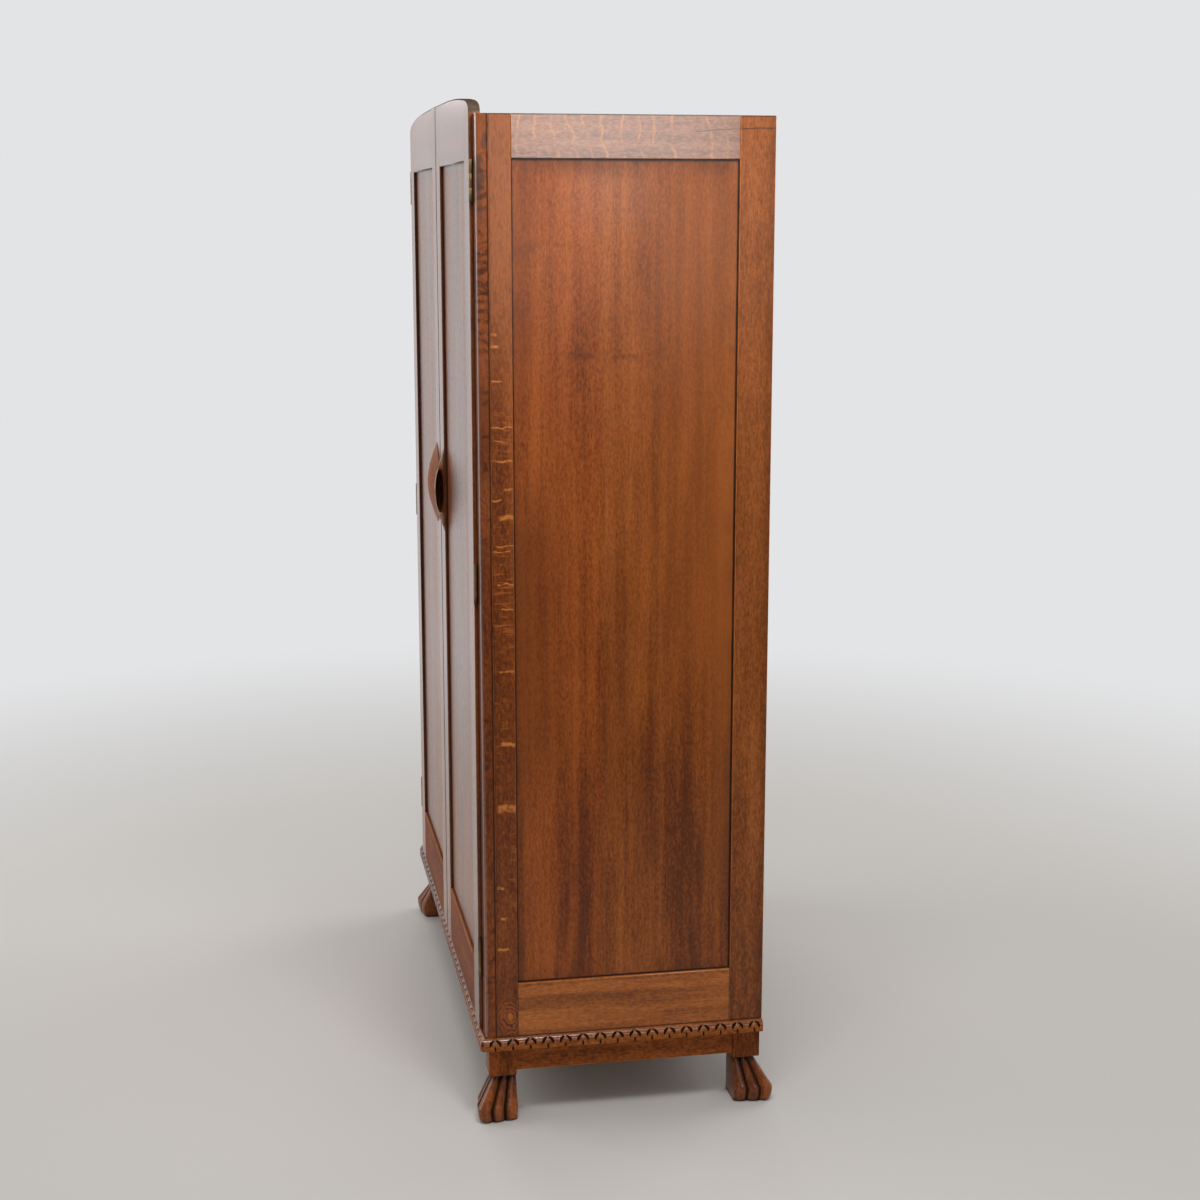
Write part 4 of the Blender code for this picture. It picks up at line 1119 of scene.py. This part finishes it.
def build_sides(matte_tops):
    """Frames, panels and face strips of both sides."""
    rim = visible_panel("right_side", ("front_stile", "rear_stile"), "Y")
    strip_low, strip_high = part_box("right_face_strip")
    stile = (strip_high.y, rim[1][0])
    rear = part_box("right_side_rear_stile")[1].y
    short_grain = veins(230.0, 55.0, 0.24)
    rail_ends = joints_and_shade("Y", rim[1])
    ends = joints_and_shade("Z", (CASE_TOP, SHELF), 0.0030)
    split = crack(*CRACK)
    # The rear uprights pale towards the top with painted light, darken towards the bottom with painted shade,
    # and are darker along their rear edge.
    rear_upright = oak("oak_rear_upright", "Z", FRAME_OAK, 1.0,
                       (painted_light_above(0.25, 1.1, 0.26), short_grain, ends, split,
                        darker_towards("Y", rear - 0.020, rear - 0.002, 0.35), darker_towards("Z", 0.45, 0.20, 0.4)),
                       figuring=(0.35, 0.3, 0.2, 0.5), sheen=0.16, coat=(0.26, 0.2))
    # The front uprights pale to a greyish tint towards the top: a painted sheen.
    front_upright = oak("oak_front_upright", "Z", FRONT_OAK, 21.0,
                        (painted_light_above(1.2, 1.65, 0.55, PAINTED_SHEEN_OAK), short_grain, flecks(0.6, 0.20, 1.42),
                         placed_flecks(stile, FLECKS, 0.95), knot(*KNOT), ends,
                         joints_and_shade("Y", stile[:1], 0.0034)),
                        sheen=0.16, coat=(0.26, 0.2))
    bottom_rail = oak("oak_side_rail", "Y", RAIL_OAK, 2.0,
                      (veins(140.0, 4.0, 0.22), rail_ends, joints_and_shade("Z", (SHELF,), 0.0030)),
                      figuring=(0.35, 0.2, 0.55, 0.4), sheen=0.12, coat=(0.45, 0.16))
    top_rail = oak("oak_top_rail", "Y", TOP_OAK_PAINTED_SHEEN, 3.0, (rays(0.6, rear), short_grain, rail_ends, ends, split),
                   figuring=(0.35, 0.2, 0.35, 0.45), coat=(1.0, 0.2), index=1.72)
    # The strip pales towards its top: painted light.
    strip = oak("oak_strip", "Z", STRIP_OAK, 5.0,
                (painted_light_above(0.9, 1.5, 0.25), ladder(*LADDER), stain(*STAIN),
                 joints_and_shade("Y", (strip_high.y,), 0.0036, 0.9)),
                sheen=0.2, coat=(1.0, 0.14), index=1.85,
                polished=(("X", strip_high.x - 0.007, strip_high.x - 0.005),
                          ("Y", strip_low.y + 0.006, strip_low.y + 0.003)))
    # Side panel: veneer with a painted sheen near its top, and dark polish with painted shade along its sunk
    # edges.
    panel = oak("oak_side_panel", "Z", PANEL_OAK, 6.0, (veneer(VENEER_JOINT), recess_dirt_and_shade(rim, 0.22)),
                figuring=(0.5, 0.25, 0.4, 0.42), sheen=0.15, coat=(0.30, 0.2))
    for side, _ in SIDES:
        uprights = (f"{side}_side_front_stile", f"{side}_side_rear_stile")
        soften(uprights[0], "X", ARRIS, front_upright, tops=matte_tops)
        soften(uprights[1], "X", ARRIS, rear_upright, tops=matte_tops)
        soften(f"{side}_side_top_rail", "X", ARRIS, top_rail, tops=matte_tops)
        soften(f"{side}_side_bottom_rail", "X", LEDGE_ARRIS, bottom_rail, LEDGE_RUB, mates=uprights)
        soften(f"{side}_side_panel", "X", ARRIS, panel)
        smooth(soften(f"{side}_face_strip", "Y", ARRIS, strip))


def build_doors(matte_tops, brass):
    """Both doors with their pulls and hinges."""
    rim = visible_panel("right_door", ("meeting_stile", "hinge_stile"), "X")
    # Painted shade: a darker band beside the doors' meeting gap, dark lines along the sunk panels' edges and
    # a dark line under the head rail's edge.
    meeting = joints_and_shade("X", (0.0,), 0.0060, 0.35)
    sunk = joints_and_shade("X", (*rim[1], *(-x for x in rim[1])), 0.0016, 0.75)
    under_head = joints_and_shade("Z", rim[2][1:], 0.0016, 0.75)
    # Painted shade with grime on the doors' edges, level with the face of the case.
    grime_and_shade = edge_grime_and_shade(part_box("right_face_strip")[0].y)
    straight = (0.4, 0.3, 0.45, 0.3)
    stile = oak("oak_door_upright", "Z", FRAME_OAK, 14.0, (meeting, sunk, grime_and_shade), 0.24, straight, 0.4,
                (0.35, 0.16))
    head = oak("oak_door_rail", "X", FRAME_OAK, 4.0, (meeting, under_head, grime_and_shade), 0.24, straight, 0.4,
               (0.42, 0.16))
    foot = oak("oak_door_foot", "X", FRONT_OAK, 24.0, (meeting, grime_and_shade), roughness=0.55, sheen=0.15)
    # The door panels darken along their sunk edges: dark polish and painted shade.
    panel = oak("oak_door_panel", "Z", PANEL_OAK, 7.0, (recess_dirt_and_shade(rim, 0.4),), 0.30, (0.45, 0.3, 0.5, 0.28),
                0.35, (0.32, 0.2))
    # The pulls' rims take a pale colour, wear with a painted highlight; their hollows hold painted shade.
    carved = oak("oak_carved_pull", "Z", FOOT_OAK, 18.0, (), 0.42, sheen=0.14, coat=(0.15, 0.14),
                 worn=RIM_WEAR_AND_HIGHLIGHT)
    screw = screw_head()
    for side, sign in SIDES:
        uprights = (f"{side}_door_hinge_stile", f"{side}_door_meeting_stile")
        crosswise = (f"{side}_door_top_rail", f"{side}_door_bottom_rail")
        for upright in uprights:
            soften(upright, "Y", DOOR_ARRIS, stile, DOOR_RUB, matte_tops, crosswise)
        soften(crosswise[0], "Y", DOOR_ARRIS, head, DOOR_RUB, matte_tops, uprights)
        soften(crosswise[1], "Y", DOOR_ARRIS, foot, mates=uprights)
        soften(f"{side}_door_panel", "Y", ARRIS, panel)
        build_pull(side, sign, carved)
        for level in ("lower", "middle", "upper"):
            for leaf in ("case_leaf", "door_leaf"):
                build_leaf(side, sign, level, leaf, screw, brass)


def build_base():
    """Apron rails, feet and carved moulding, and the head rail in the same oak as the front apron."""
    # Painted shade under the moulding's overhang, on the aprons and the feet's blocks.
    under = joints_and_shade("Z", (CASE_BOTTOM,), 0.0062, 0.85)
    # The reeded feet are darker below their blocks; the rear feet are darker still, a painted shade.
    worn = darker_towards("Z", FOOT_HEIGHT + 0.002, FOOT_HEIGHT - 0.006, 0.4)
    shaded = darker_towards("Y", 0.05, 0.15, 0.3)
    rounding = (("Z", CASE_BOTTOM + 0.009, CASE_BOTTOM + 0.015),)
    side_rail = oak("oak_apron_rail", "Y", FRAME_OAK, 12.0, (under,), sheen=0.1)
    front_rail = oak("oak_front_rail", "X", FRAME_OAK, 11.0, (under,), sheen=0.1)
    carved = oak("oak_carved_upright", "Z", FOOT_OAK, 8.0, (veins(130.0, 5.0, 0.30), under, worn, shaded),
                 0.3, sheen=0.12, coat=(0.6, 0.22),
                 polished=(("Z", FOOT_HEIGHT + 0.004, FOOT_HEIGHT - 0.004),))
    mouldings = [oak(name, grain, CARVED_OAK, seed, (), 0.3, sheen=0.15, coat=(0.6, 0.2), index=1.7,
                     polished=rounding)
                 for name, grain, seed in (("oak_carved_side", "Y", 10.0), ("oak_carved_front", "X", 9.0))]
    for side, _ in SIDES:
        soften(f"{side}_apron_rail", "X", ARRIS, side_rail)
        for end in ("front", "rear"):
            build_foot(f"{end}_{side}_foot", carved)
    for node in ("front_apron_rail", "rear_apron_rail", "head_rail"):
        soften(node, "Y", ARRIS, front_rail)
    build_mouldings(*mouldings)


def build_inside(brass, steel):
    """Plain boards, hanging rail, catches and the pins round the back."""
    across = board("inside_boards", "X", PLAIN_WOOD, 1.0)
    bearers = board("inside_bearers", "Y", PLAIN_WOOD, 2.0)
    back = board("inside_back", "Z", PLAIN_WOOD, 3.0)
    soften("top_board", "Z", ARRIS, across)
    soften("floor_board", "Z", ARRIS, across)
    soften("back_panel", "Y", ARRIS, back)
    build_pins(steel)
    rounded("hanging_rail", METAL_ARRIS, brass)
    for side, _ in SIDES:
        soften(f"{side}_rail_bearer", "X", ARRIS, bearers)
        rounded(f"{side}_rail_socket", METAL_ARRIS, brass)
        rounded(f"{side}_door_catch_clip", METAL_ARRIS, steel)
        rounded(f"{side}_door_catch_stud", METAL_ARRIS, brass)


def build_wardrobe():
    """Give every node its look."""
    matte_tops = board("matte_top_faces", "X", MATTE_TOP_WOOD, 5.0, 0.0)
    brass = metal("dull_brass", *BRASS)
    steel = metal("spring_steel", *STEEL)
    build_sides(matte_tops)
    build_doors(matte_tops, brass)
    build_base()
    build_inside(brass, steel)


for old in list(bpy.data.objects):
    if old.type in ("LIGHT", "CAMERA"):
        bpy.data.objects.remove(old, do_unlink=True)
build_wardrobe()
build_floor()
build_light()
build_camera()
